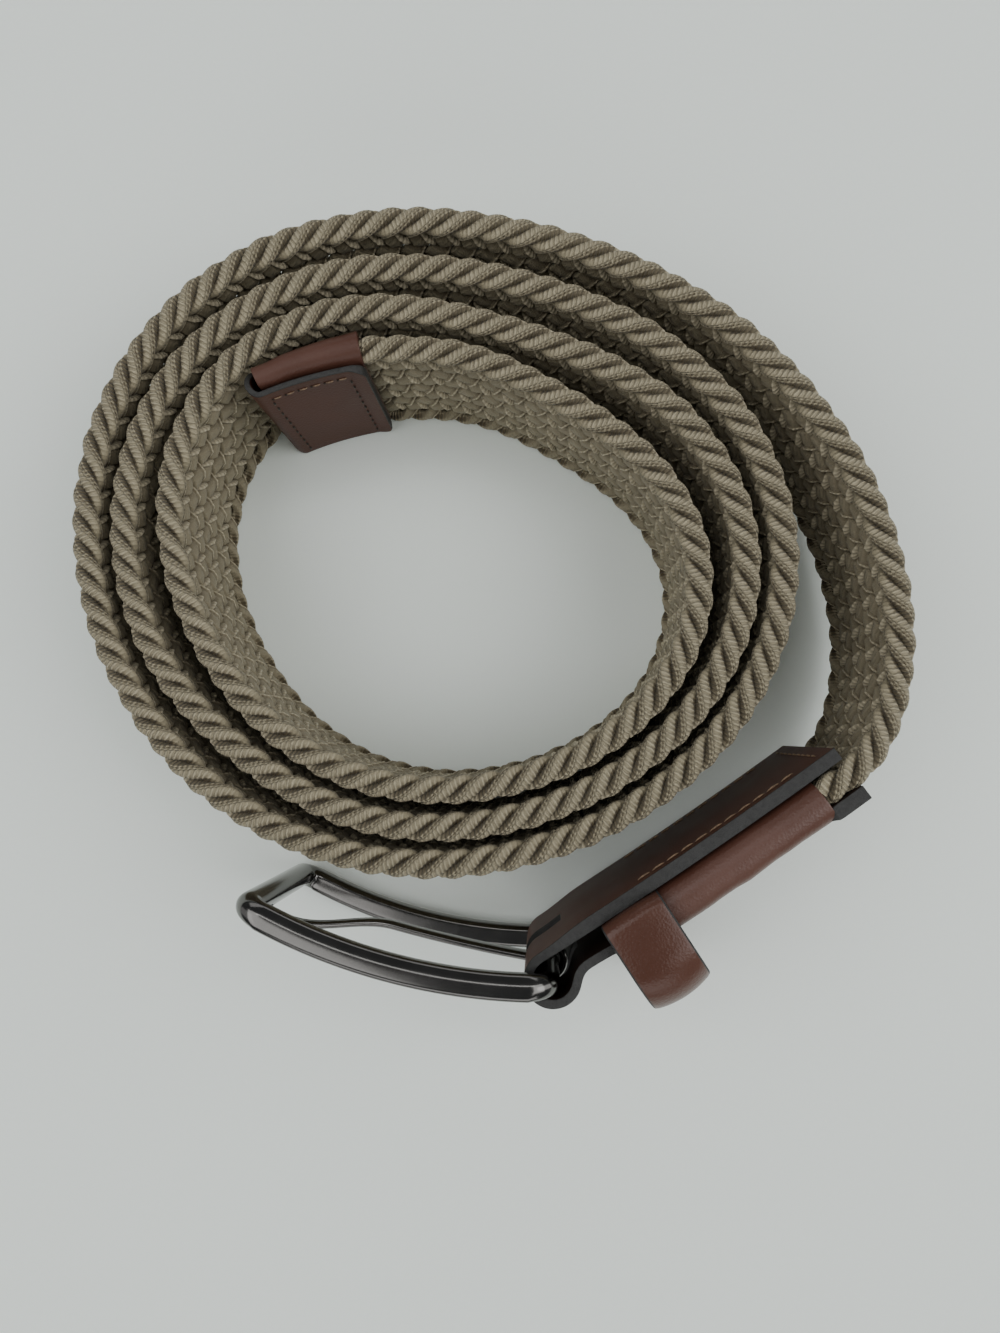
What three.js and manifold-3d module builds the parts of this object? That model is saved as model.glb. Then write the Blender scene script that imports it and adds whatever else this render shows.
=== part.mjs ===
// A braided belt with leather ends and a dark metal buckle, rolled into a loose spiral and standing
// on its lower edge. Millimetres, +Z up. Plan positions are measured from the middle of the coil.
import * as THREE from 'three';
import { mergeVertices } from 'three/addons/utils/BufferGeometryUtils.js';
import Module from 'manifold-3d';

const wasm = await Module();
wasm.setup();

const degrees = THREE.MathUtils.degToRad;

// Woven band
const bandHeight = 35;
const bandThickness = 5;
const bandEndPoints = 6;
const bandStep = 6;
const seatGap = 0.3;

// Coil: the reach from its middle grows by one pitch a turn, and is oval, slightly three-sided
// and pressed or let out in a few places. Turns are counted from the free end, clockwise from above.
const freeEndReach = 40.1;
const freeEndBearing = degrees(136.8);
const turnGap = 0.9;
const turnPitch = bandThickness + turnGap;
const coilTurns = 3.2;
const ovalDepth = 3.7;
const ovalBearing = degrees(-13);
const lobeDepth = 1.1;
const lobeBearing = degrees(9);
// depth is a share of freeEndReach, turn and width are in turns
const coilPresses = [
  { turn: 0.08, width: 0.07, depth: -0.062 },
  { turn: 0.28, width: 0.12, depth: -0.147 },
  { turn: 0.82, width: 0.13, depth: -0.077 },
  { turn: 1.21, width: 0.13, depth: -0.067 },
  { turn: 1.75, width: 0.07, depth: -0.042 },
  { turn: 3.3, width: 0.32, depth: 0.08 },
];

// Last stretch of the band, from the coil to the leather tab
const tabStandoff = 19.5;
const tabBearing = degrees(-29.2);
const leaveEase = 0.6;
const arriveEase = 0.2;

// Leather cap on the free end
const capLength = 19;
const capEndThickness = 3.2;
const sleeveWall = 0.9;
const patchThickness = 1;
const patchReach = 1.2;
const foldSteps = 8;
const stripInset = 0.4;

// Leather tab at the buckle
const tabLength = 58.5;
const tabHeading = degrees(216);
const tabBend = degrees(-4);
const sleeveStart = 6;
const sleeveLength = 31;
const innerLegThickness = 2.2;
const outerLegThickness = 1.5;
const loopSlack = 1.2;
const loopWrap = degrees(225);
const loopStep = degrees(20);
const pinchDistance = 7.5;
const pinchOffset = 0.9;
const pinchHold = 0.75;
const pinchSteps = 6;
const slotLength = 12;
const slotDepth = 24;
const slotSideGap = 1.2;
const innerLegEase = 10;

// Keeper
const keeperWidth = 9.2;
const keeperWall = 1.3;
const keeperReach = 14.2;
const keeperCornerRadius = 3;
const keeperClearance = 0.9;
const keeperSleeveGap = 0.6;

// Buckle
const barHeight = 3.8;
const barThickness = 4.2;
const hingeBarRadius = 1.9;
const endBarRadius = 2.1;
const windowClearance = 0.7;
const frameLength = 49.2;
const frameArch = 3.2;
const frameCornerRadius = 3;
const frameSwing = degrees(-46);
const prongThickness = 2;
const prongWidth = 4;
const prongOverhang = 1.6;
const prongEyeWall = 1.3;
// share of frameLength
const prongRiseStart = 0.7;
const barSides = 10;
const cornerSteps = 3;
const eyeSegments = 16;

const frameHeight = bandHeight + 2 * (windowClearance + barHeight);
const tabLift = (frameHeight - bandHeight) / 2;
const liftLength = 95;

const finishes = {
  cord: { color: 0xa09680, roughness: 0.85, metalness: 0 },
  leather: { color: 0x5e4034, roughness: 0.5, metalness: 0 },
  gunmetal: { color: 0x3c3c3a, roughness: 0.22, metalness: 1 },
};

// Route of the belt in plan

function pressAt(turn) {
  return coilPresses.reduce(
    (sum, press) => sum + press.depth * Math.exp(-(((turn - press.turn) / press.width) ** 2)), 0,
  );
}

function reachAt(turn, bearing) {
  const oval = ovalDepth * Math.cos(2 * (bearing - ovalBearing));
  const lobe = lobeDepth * Math.cos(3 * (bearing - lobeBearing));
  return freeEndReach * (1 + pressAt(turn)) + turnPitch * turn + oval + lobe;
}

function heading(angle) {
  return new THREE.Vector2(Math.cos(angle), Math.sin(angle));
}

class CoilCurve extends THREE.Curve {
  getPoint(share) {
    const turn = share * coilTurns;
    const bearing = freeEndBearing - 2 * Math.PI * turn;
    return heading(bearing).multiplyScalar(reachAt(turn, bearing));
  }
}

// A gentle arc of a given length that starts at a point with a heading and turns by a bend
class ArcFrom extends THREE.Curve {
  constructor(start, startHeading, length, bend) {
    super();
    Object.assign(this, { start, startHeading, length, bend });
  }

  getPoint(share) {
    const turned = this.bend * share;
    const chord = this.length * share * Math.sin(turned / 2) / (turned / 2 || 1);
    const straight = turned === 0 ? this.length * share : chord;
    return heading(this.startHeading + turned / 2).multiplyScalar(straight).add(this.start);
  }
}

const coil = new CoilCurve();
coil.arcLengthDivisions = 1600;
const coilEnd = coil.getPoint(1);
const tabMouth = heading(tabBearing).multiplyScalar(coilEnd.length() + tabStandoff);
const crossing = coilEnd.distanceTo(tabMouth);
const departure = new THREE.CubicBezierCurve(
  coilEnd,
  coil.getTangent(1).multiplyScalar(leaveEase * crossing).add(coilEnd),
  heading(tabHeading).multiplyScalar(-arriveEase * crossing).add(tabMouth),
  tabMouth,
);
const tab = new ArcFrom(tabMouth, tabHeading, tabLength, tabBend);

const route = new THREE.CurvePath();
[coil, departure, tab].forEach((stretch) => route.add(stretch));
const routeLength = route.getLength();
const mouthDistance = routeLength - tabLength;

// The belt's middle line at a distance from its free end, moved sideways, with the outer side positive
function beside(distance, offset = 0) {
  const share = distance / routeLength;
  const along = route.getTangent(share);
  return new THREE.Vector2(-along.y, along.x).multiplyScalar(offset).add(route.getPoint(share));
}

function directionAt(distance) {
  return route.getTangent(distance / routeLength);
}

function liftAt(distance) {
  return tabLift * THREE.MathUtils.smoothstep(distance, mouthDistance - liftLength, mouthDistance);
}

function spread(from, to, step) {
  const count = Math.max(1, Math.round((to - from) / step));
  return Array.from({ length: count + 1 }, (_, index) => from + (to - from) * index / count);
}

// Solids

// A skin over rings of points, with a fan at each end unless the rings close on themselves
function loft(rings, closed = false) {
  const count = rings[0].length;
  const spans = closed ? rings.length : rings.length - 1;
  const faces = [];
  for (let ring = 0; ring < spans; ring += 1) {
    const here = ring * count;
    const next = ((ring + 1) % rings.length) * count;
    for (let corner = 0; corner < count; corner += 1) {
      const following = (corner + 1) % count;
      faces.push(here + corner, here + following, next + following);
      faces.push(here + corner, next + following, next + corner);
    }
  }
  if (!closed) {
    const last = (rings.length - 1) * count;
    for (let corner = 1; corner < count - 1; corner += 1) {
      faces.push(0, corner + 1, corner);
      faces.push(last, last + corner, last + corner + 1);
    }
  }
  const geometry = new THREE.BufferGeometry();
  geometry.setAttribute('position', new THREE.Float32BufferAttribute(
    rings.flat().flatMap((point) => point.toArray()), 3,
  ));
  geometry.setIndex(faces);
  return geometry;
}

// Upright slab with rounded upper and lower edges and a narrow flat along each, as a ring of
// points across the route
function slabRing(distance, thickness, height, foot) {
  const round = thickness / 2;
  const angles = spread(0, Math.PI, Math.PI / (bandEndPoints - 1));
  const rise = Math.max(...angles.map(Math.sin));
  const ring = [];
  [1, -1].forEach((end) => angles.forEach((angle) => {
    const plan = beside(distance, end * round * Math.cos(angle));
    const up = height / 2 + round * (Math.sin(angle) - rise);
    ring.push(new THREE.Vector3(plan.x, plan.y, foot + height / 2 + end * up));
  }));
  return ring;
}

// A leather sleeve: the wall between an outer and an inner row of slab rings
function sleeve(distances, thicknessAt, footAt) {
  const outer = distances.map((distance) => slabRing(
    distance, thicknessAt(distance), bandHeight, footAt(distance),
  ));
  const inner = distances.map((distance) => slabRing(
    distance,
    thicknessAt(distance) - 2 * sleeveWall,
    bandHeight - 2 * sleeveWall,
    footAt(distance) + sleeveWall,
  ));
  const walls = outer[0].map((_, corner) => [
    ...inner.map((ring) => ring[corner]),
    ...outer.map((ring) => ring[corner]).reverse(),
  ]);
  return loft(walls, true);
}

// An upright strip that follows a middle line in plan, with a thickness at each of its points
function uprightStrip(middle, thicknesses, height, foot) {
  const sides = middle.map((point, index) => {
    const before = middle[Math.max(0, index - 1)];
    const after = middle[Math.min(middle.length - 1, index + 1)];
    const along = after.clone().sub(before).normalize();
    const out = new THREE.Vector2(-along.y, along.x).multiplyScalar(thicknesses[index] / 2);
    return [point.clone().add(out), point.clone().sub(out)];
  });
  const outline = [...sides.map(([left]) => left), ...sides.map(([, right]) => right).reverse()];
  const solid = new THREE.ExtrudeGeometry(new THREE.Shape(outline), {
    depth: height, bevelEnabled: false,
  });
  return solid.translate(0, 0, foot);
}

function toManifold(geometry) {
  const bare = geometry.clone();
  bare.deleteAttribute('normal');
  bare.deleteAttribute('uv');
  const merged = mergeVertices(bare);
  return new wasm.Manifold(new wasm.Mesh({
    numProp: 3,
    vertProperties: new Float32Array(merged.attributes.position.array),
    triVerts: new Uint32Array(merged.index.array),
  }));
}

function cutAway(body, tool) {
  const { vertProperties, triVerts } = toManifold(body).subtract(toManifold(tool)).getMesh();
  const geometry = new THREE.BufferGeometry();
  geometry.setAttribute('position', new THREE.BufferAttribute(vertProperties, 3));
  geometry.setIndex(new THREE.BufferAttribute(triVerts, 1));
  return geometry;
}

// Woven band, pressed thin where the leather grips it

const tabSleeveStart = mouthDistance + sleeveStart;
const tabSleeveEnd = tabSleeveStart + sleeveLength;

function capThickness(distance) {
  return THREE.MathUtils.lerp(capEndThickness, bandThickness, Math.min(1, distance / capLength));
}

function strap() {
  const pressed = (distance, thickness) => {
    const wrap = sleeveWall + seatGap;
    return slabRing(distance, thickness - 2 * wrap, bandHeight - 2 * wrap, liftAt(distance) + wrap);
  };
  const full = (distance) => slabRing(distance, bandThickness, bandHeight, liftAt(distance));
  const freeStart = capLength + bandThickness / 4;
  const freeEnd = tabSleeveStart - bandThickness / 4;
  return loft([
    ...spread(sleeveWall, capLength + seatGap, bandStep / 2).map((at) => pressed(at, capThickness(at))),
    ...spread(freeStart, freeEnd, bandStep).map(full),
    ...spread(tabSleeveStart - seatGap, tabSleeveEnd - sleeveWall, bandStep)
      .map((at) => pressed(at, bandThickness)),
  ]);
}

// Leather cap and the strip folded round it

function tipSleeve() {
  return sleeve(spread(0, capLength, bandStep / 2), capThickness, () => 0);
}

function tipPatch() {
  const legDistances = spread(0, capLength, bandStep / 2);
  const offset = (distance) => capThickness(distance) / 2 + seatGap + patchThickness / 2;
  const foldAngles = spread(0, Math.PI, Math.PI / foldSteps).slice(1, -1);
  const start = beside(0);
  const along = directionAt(0);
  const outward = new THREE.Vector2(-along.y, along.x);
  const fold = foldAngles.map((angle) => start.clone()
    .addScaledVector(outward, -offset(0) * Math.cos(angle))
    .addScaledVector(along, -(patchReach + patchThickness / 2) * Math.sin(angle)));
  const middle = [
    ...legDistances.map((distance) => beside(distance, -offset(distance))).reverse(),
    ...fold,
    ...legDistances.map((distance) => beside(distance, offset(distance))),
  ];
  return uprightStrip(
    middle, middle.map(() => patchThickness), bandHeight - 2 * stripInset, stripInset,
  );
}

// Leather tab: the inner leg, the loop round the hinge bar and the outer leg are one strip

function tabSleeve() {
  return sleeve(spread(tabSleeveStart, tabSleeveEnd, bandStep), () => bandThickness, () => tabLift);
}

const legFace = bandThickness / 2 + seatGap;
const loopInnerRadius = hingeBarRadius + loopSlack;
const loopRadius = loopInnerRadius + outerLegThickness / 2;
const hingeSetback = loopSlack - seatGap;
const loopDistance = routeLength - hingeSetback;
const loopCentre = beside(loopDistance, loopRadius - legFace - outerLegThickness / 2);
const tabEndHeading = tabHeading + tabBend;
const hinge = heading(tabEndHeading).multiplyScalar(hingeSetback).add(loopCentre);

// A point of the tab in plan: back from the hinge towards the coil's end of the tab, and outward
function nearHinge(back, outward) {
  return hinge.clone()
    .addScaledVector(heading(tabEndHeading), -back)
    .addScaledVector(heading(tabEndHeading + Math.PI / 2), outward);
}

function tabStrip() {
  const innerLeg = spread(mouthDistance, loopDistance, bandStep);
  const innerThickness = (distance) => THREE.MathUtils.lerp(
    innerLegThickness,
    outerLegThickness,
    THREE.MathUtils.smoothstep(distance, loopDistance - innerLegEase, loopDistance),
  );
  const legOffset = legFace + outerLegThickness / 2;
  const loopStart = tabEndHeading - Math.PI / 2;
  const loopLeave = loopStart + loopWrap;
  const loop = spread(loopStart, loopLeave, loopStep).slice(1)
    .map((angle) => heading(angle).multiplyScalar(loopRadius).add(loopCentre));
  const leaving = loop.at(-1);
  const pinch = nearHinge(pinchDistance, pinchOffset);
  const back = heading(tabEndHeading + Math.PI);
  const waist = new THREE.CubicBezierCurve(
    leaving,
    heading(loopLeave + Math.PI / 2).multiplyScalar(loopRadius / 2).add(leaving),
    back.clone().multiplyScalar(-loopRadius / 2).add(pinch),
    pinch,
  );
  const gripEnd = beside(tabSleeveEnd, legOffset);
  const reach = pinch.distanceTo(gripEnd);
  const widening = new THREE.CubicBezierCurve(
    pinch,
    back.clone().multiplyScalar(pinchHold * reach).add(pinch),
    directionAt(tabSleeveEnd).multiplyScalar((1 - pinchHold) * reach).add(gripEnd),
    gripEnd,
  );
  const outerLeg = spread(mouthDistance, tabSleeveEnd, bandStep).reverse().slice(1);
  const middle = [
    ...innerLeg.map((distance) => beside(distance, -legFace - innerThickness(distance) / 2)),
    ...loop,
    ...waist.getPoints(pinchSteps).slice(1),
    ...widening.getPoints(pinchSteps).slice(1),
    ...outerLeg.map((distance) => beside(distance, legOffset)),
  ];
  const thicknesses = middle.map((_, index) => (
    index < innerLeg.length ? innerThickness(innerLeg[index]) : outerLegThickness
  ));
  const strip = uprightStrip(
    middle, thicknesses, bandHeight - 2 * stripInset, tabLift + stripInset,
  );
  const slot = new THREE.BoxGeometry(slotLength, slotDepth, prongWidth + 2 * slotSideGap);
  slot.rotateZ(tabEndHeading);
  slot.translate(hinge.x, hinge.y, frameHeight / 2);
  return cutAway(strip, slot);
}

// Keeper: a flat leather ring round the outer leg, with room for the free end

function keeper() {
  const low = tabLift - keeperClearance - keeperWall;
  const high = tabLift + bandHeight + keeperClearance + keeperWall;
  const inner = -legFace + seatGap;
  const outer = -legFace + keeperReach;
  const outline = (inset) => {
    const radius = keeperCornerRadius - inset;
    const corners = [
      [outer - inset - radius, low + inset + radius, -Math.PI / 2],
      [outer - inset - radius, high - inset - radius, 0],
      [inner + inset + radius / 2, high - inset - radius / 2, Math.PI / 2],
      [inner + inset + radius / 2, low + inset + radius / 2, Math.PI],
    ];
    const path = new THREE.Shape();
    corners.forEach(([x, y, start], index) => {
      path.absarc(x, y, index < 2 ? radius : radius / 2, start, start + Math.PI / 2);
    });
    return path;
  };
  const ring = outline(0);
  ring.holes.push(new THREE.Path(outline(keeperWall).getPoints(cornerSteps)));
  const solid = new THREE.ExtrudeGeometry(ring, {
    depth: keeperWidth, bevelEnabled: false, curveSegments: cornerSteps,
  });
  // section x runs outward, section y up and the extrusion towards the hinge
  const near = tabSleeveEnd + keeperSleeveGap;
  const along = directionAt(near + keeperWidth / 2);
  const seat = beside(near);
  const place = new THREE.Matrix4().makeBasis(
    new THREE.Vector3(-along.y, along.x, 0),
    new THREE.Vector3(0, 0, 1),
    new THREE.Vector3(along.x, along.y, 0),
  );
  return solid.applyMatrix4(place.setPosition(seat.x, seat.y, 0));
}

// Buckle: its own lengths run from the hinge bar to the end bar, outward and up

const archRadius = (frameLength ** 2 / 4 + frameArch ** 2) / (2 * frameArch);
const archHalfAngle = Math.asin(frameLength / 2 / archRadius);

function bentByArch(length, outward) {
  const angle = archHalfAngle * (2 * length / frameLength - 1);
  const reach = archRadius + outward;
  return new THREE.Vector2(
    frameLength / 2 + reach * Math.sin(angle),
    reach * Math.cos(angle) - (archRadius - frameArch),
  );
}

function placeBuckle(geometry) {
  return geometry.rotateZ(tabEndHeading + frameSwing).translate(hinge.x, hinge.y, 0);
}

function buckleFrame() {
  const low = barHeight / 2;
  const high = frameHeight - barHeight / 2;
  const radius = frameCornerRadius;
  const sidePoints = spread(radius, frameLength - radius, bandStep);
  const arc = (x, z, start) => spread(start, start + Math.PI / 2, Math.PI / 2 / cornerSteps).slice(1, -1)
    .map((angle) => [x + radius * Math.cos(angle), z + radius * Math.sin(angle), angle]);
  const stations = [
    ...sidePoints.map((x) => [x, low, -Math.PI / 2]),
    ...arc(frameLength - radius, low + radius, -Math.PI / 2),
    ...spread(low + radius, high - radius, bandHeight).map((z) => [frameLength, z, 0]),
    ...arc(frameLength - radius, high - radius, 0),
    ...[...sidePoints].reverse().map((x) => [x, high, Math.PI / 2]),
    ...arc(radius, high - radius, Math.PI / 2),
    ...spread(low + radius, high - radius, bandHeight).reverse().map((z) => [0, z, Math.PI]),
    ...arc(radius, low + radius, Math.PI),
  ];
  const rings = stations.map(([x, z, facing]) => {
    const towardEnd = Math.max(0, Math.cos(facing));
    const towardHinge = Math.max(0, -Math.cos(facing));
    const halfOf = (size) => size / 2 + towardEnd * (endBarRadius - size / 2)
      + towardHinge * (hingeBarRadius - size / 2);
    return spread(0, 2 * Math.PI, 2 * Math.PI / barSides).slice(1).map((angle) => {
      const across = halfOf(barHeight) * Math.cos(angle);
      const plan = bentByArch(x + across * Math.cos(facing), halfOf(barThickness) * Math.sin(angle));
      return new THREE.Vector3(plan.x, plan.y, z + across * Math.sin(facing));
    });
  });
  return placeBuckle(loft(rings, true));
}

function prong() {
  const eyeRadius = hingeBarRadius + seatGap + prongEyeWall;
  const tip = frameLength + prongOverhang;
  const overEnd = endBarRadius + seatGap + prongThickness / 2;
  const lengths = spread(eyeRadius, tip, bandStep / 2);
  const rise = (length) => overEnd * THREE.MathUtils.smoothstep(
    length, prongRiseStart * frameLength, frameLength - endBarRadius,
  );
  const side = (sign) => lengths.map((length) => (
    bentByArch(length, rise(length) + sign * prongThickness / 2)
  ));
  const [under, over] = [side(-1), side(1)];
  const outline = new THREE.Shape();
  outline.absarc(0, 0, eyeRadius, over[0].angle(), under[0].angle(), false);
  [...under, ...over.reverse()].forEach((point) => outline.lineTo(point.x, point.y));
  const eye = new THREE.Path().absarc(0, 0, hingeBarRadius + seatGap, 0, 2 * Math.PI, true);
  outline.holes.push(eye);
  const solid = new THREE.ExtrudeGeometry(outline, {
    depth: prongWidth, bevelEnabled: false, curveSegments: eyeSegments,
  });
  return placeBuckle(solid.translate(0, 0, (frameHeight - prongWidth) / 2));
}

// Assembly

const belt = new THREE.Group();
const pieces = {
  strap: [strap, finishes.cord],
  tip_sleeve: [tipSleeve, finishes.leather],
  tip_patch: [tipPatch, finishes.leather],
  tab_sleeve: [tabSleeve, finishes.leather],
  tab_strip: [tabStrip, finishes.leather],
  keeper: [keeper, finishes.leather],
  buckle_frame: [buckleFrame, finishes.gunmetal],
  prong: [prong, finishes.gunmetal],
};
Object.entries(pieces).forEach(([name, [shape, finish]]) => {
  const mesh = new THREE.Mesh(shape(), new THREE.MeshStandardMaterial(finish));
  mesh.name = name;
  belt.add(mesh);
});

const box = new THREE.Box3().setFromObject(belt);
const middle = box.getCenter(new THREE.Vector3());
belt.position.set(-middle.x, -middle.y, -box.min.z);

export default belt;
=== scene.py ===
"""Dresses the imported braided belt: the woven cords, the leather ends, the keeper and the buckle.

Lengths in the shape functions are millimetres; meshes and properties are in metres.
"""

import bpy
import numpy as np
from bpy.props import FloatProperty, FloatVectorProperty, IntProperty, PointerProperty
from mathutils import Matrix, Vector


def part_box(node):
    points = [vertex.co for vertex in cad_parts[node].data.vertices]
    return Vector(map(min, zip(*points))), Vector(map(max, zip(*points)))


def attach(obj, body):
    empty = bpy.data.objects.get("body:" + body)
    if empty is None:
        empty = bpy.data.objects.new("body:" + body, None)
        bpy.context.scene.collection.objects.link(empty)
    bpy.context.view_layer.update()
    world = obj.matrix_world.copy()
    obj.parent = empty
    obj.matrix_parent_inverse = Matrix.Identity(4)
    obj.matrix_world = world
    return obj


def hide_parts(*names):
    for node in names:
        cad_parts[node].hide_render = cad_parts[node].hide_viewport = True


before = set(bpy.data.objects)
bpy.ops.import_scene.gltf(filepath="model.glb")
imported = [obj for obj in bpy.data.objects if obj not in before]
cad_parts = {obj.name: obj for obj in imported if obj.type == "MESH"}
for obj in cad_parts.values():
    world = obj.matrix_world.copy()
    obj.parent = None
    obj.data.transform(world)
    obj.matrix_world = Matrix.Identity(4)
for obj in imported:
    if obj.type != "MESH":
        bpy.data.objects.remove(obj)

bl_info = {
    "name": "Braided belt",
    "version": (1, 0, 0),
    "blender": (4, 5, 0),
    "location": "View3D > Sidebar > Belt",
    "description": "Builds a braided belt with leather ends and an arched pin buckle",
    "category": "Add Mesh",
}

MM = 0.001

# Route of the band, as in the part's source. Turns run clockwise from the free end.
FREE_END_REACH = 40.1
FREE_END_BEARING = np.radians(136.8)
TURN_PITCH = 5.9
COIL_TURNS = 3.2
OVAL_DEPTH = 3.7
OVAL_BEARING = np.radians(-13)
LOBE_DEPTH = 1.1
LOBE_BEARING = np.radians(9)
# columns: turn, width in turns, depth as a share of FREE_END_REACH
COIL_PRESSES = np.array([
    (0.08, 0.07, -0.062),
    (0.28, 0.12, -0.147),
    (0.82, 0.13, -0.077),
    (1.21, 0.13, -0.067),
    (1.75, 0.07, -0.042),
    (3.3, 0.32, 0.08),
])
TAB_STANDOFF = 19.5
TAB_BEARING = np.radians(-29.2)
LEAVE_EASE = 0.6
ARRIVE_EASE = 0.2
TAB_LENGTH = 58.5
TAB_HEADING = np.radians(216)
TAB_BEND = np.radians(-4)
TAB_LIFT = 4.5
LIFT_LENGTH = 95

BAND_HEIGHT = 35
BAND_THICKNESS = 5
SEAT_GAP = 0.3
CAP_LENGTH = 19
CAP_END_THICKNESS = 3.2
SLEEVE_WALL = 0.9
SLEEVE_START = 6
SLEEVE_LENGTH = 31
STRIP_INSET = 0.4
PATCH_THICKNESS = 1
PATCH_REACH = 1.2

INNER_LEG_THICKNESS = 2.2
OUTER_LEG_THICKNESS = 1.5
INNER_LEG_EASE = 10
LOOP_SLACK = 1.2
LOOP_WRAP = np.radians(225)
PINCH_DISTANCE = 7.5
PINCH_OFFSET = 0.9
PINCH_HOLD = 0.75
SLOT_HALF_HEIGHT = 3.2
SLOT_HALF_LENGTH = 6

KEEPER_WIDTH = 9.2
KEEPER_WALL = 1.3
KEEPER_REACH = 14.2
KEEPER_CLEARANCE = 0.9
KEEPER_SLEEVE_GAP = 0.6
KEEPER_LAP = 0.9
KEEPER_SLACK = 2.3
KEEPER_WIDE_CORNER = 8
KEEPER_SMALL_CORNER = 2

FRAME_HEIGHT = 44
FRAME_LENGTH = 49.2
FRAME_ARCH = 3.2
FRAME_SWING = np.radians(-46)
BAR_HEIGHT = 3.8
BAR_THICKNESS = 4.2
HINGE_BAR_RADIUS = 1.9
END_BAR_RADIUS = 2.1
PRONG_THICKNESS = 2
PRONG_WIDTH = 4
PRONG_OVERHANG = 1.6
PRONG_SLIMNESS = 0.76
PRONG_CLEARANCE = 1.2
PRONG_EYE_WALL = 1.3
PRONG_RISE_START = 0.56
PRONG_RISE_END = 0.92
# Share of the frame's arch that the prong follows
PRONG_ARCH = 0.35

# The photograph's view: a camera close above the coil
CAMERA_PLACE = (0.01082, -0.02412, 0.200)
CAMERA_DOWN = (45, -68.5, -1000)
CAMERA_LENS = 27


# Plan of the belt


def heading(angle):
    """Unit vector in plan: cosine and sine of the angle."""
    return np.stack([np.cos(angle), np.sin(angle)], -1)


def coil_line(turn):
    """Reach times heading, where reach is the free end's with its presses, plus a pitch a turn,
    plus an oval and a three-sided term in the bearing."""
    bearing = FREE_END_BEARING - 2 * np.pi * turn
    at, width, depth = COIL_PRESSES.T
    press = (depth * np.exp(-(((turn[:, None] - at) / width) ** 2))).sum(1)
    reach = FREE_END_REACH * (1 + press) + TURN_PITCH * turn
    reach += OVAL_DEPTH * np.cos(2 * (bearing - OVAL_BEARING))
    reach += LOBE_DEPTH * np.cos(3 * (bearing - LOBE_BEARING))
    return reach[:, None] * heading(bearing)


def bezier(start, leave, arrive, end, share):
    """Cubic Bezier curve through four points at shares of its parameter."""
    s = np.asarray(share)[:, None]
    return (1 - s) ** 3 * start + 3 * (1 - s) ** 2 * s * leave + 3 * (1 - s) * s**2 * arrive + s**3 * end


def tab_line(share, mouth):
    """Arc of the tab's length whose heading turns evenly by its bend: chords from its start."""
    turned = TAB_BEND * share
    chord = TAB_LENGTH * share * np.sinc(turned / (2 * np.pi))
    return mouth + chord[:, None] * heading(TAB_HEADING + turned / 2)


def lay_route():
    """Coil, crossing and tab end to end, with the distance run and the direction at each point."""
    coil = coil_line(np.linspace(0, COIL_TURNS, 24001))
    end = coil[-1]
    direction = (coil[-1] - coil[-2]) / np.linalg.norm(coil[-1] - coil[-2])
    mouth = (np.linalg.norm(end) + TAB_STANDOFF) * heading(TAB_BEARING)
    crossing = np.linalg.norm(end - mouth)
    leave = end + direction * LEAVE_EASE * crossing
    arrive = mouth - heading(TAB_HEADING) * ARRIVE_EASE * crossing
    share = np.linspace(0, 1, 3001)[1:]
    points = np.concatenate([coil, bezier(end, leave, arrive, mouth, share), tab_line(share, mouth)])
    steps = np.linalg.norm(np.diff(points, axis=0), axis=1)
    distance = np.concatenate([[0], np.cumsum(steps)])
    along = np.gradient(points, distance, axis=0)
    return distance, points, along / np.linalg.norm(along, axis=1)[:, None]


ROUTE, ROUTE_POINTS, ROUTE_ALONG = lay_route()
ROUTE_LENGTH = ROUTE[-1]
MOUTH = ROUTE_LENGTH - TAB_LENGTH
SLEEVE_MOUTH = MOUTH + SLEEVE_START
SLEEVE_END = SLEEVE_MOUTH + SLEEVE_LENGTH
TAB_END_HEADING = TAB_HEADING + TAB_BEND


def at_distance(values, distance):
    """Values of a two-column table read at distances along the route."""
    return np.stack([np.interp(distance, ROUTE, column) for column in values.T], -1)


def direction_at(distance):
    """Unit direction of travel at distances along the route."""
    return at_distance(ROUTE_ALONG, distance)


def across_at(distance):
    """Unit vector to the belt's outer side: the direction of travel turned a quarter left."""
    along = direction_at(distance)
    return np.stack([-along[..., 1], along[..., 0]], -1)


def beside(distance, offset=0.0):
    """Route point plus offset times the outward unit vector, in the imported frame."""
    offset = np.asarray(offset, float)[..., None]
    return at_distance(ROUTE_POINTS, distance) + offset * across_at(distance) + COIL_CENTRE


COIL_CENTRE = np.zeros(2)


def coil_centre():
    """The strap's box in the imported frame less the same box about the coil's centre."""
    edges = np.concatenate([beside(ROUTE[:24001], side * BAND_THICKNESS / 2) for side in (-1, 1)])
    low, high = np.array(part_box("strap"))[:, :2] / MM
    return np.array([low[0] - edges[:, 0].min(), high[1] - edges[:, 1].max()])


COIL_CENTRE = coil_centre()


def smoothstep(value, low, high):
    """Three x squared less two x cubed of the value's share of the way from low to high."""
    share = np.clip((value - low) / (high - low), 0, 1)
    return share * share * (3 - 2 * share)


def lift_at(distance):
    """Height of the band's foot: it rises smoothly to the tab over the lift length."""
    return TAB_LIFT * smoothstep(distance, MOUTH - LIFT_LENGTH, MOUTH)


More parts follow.
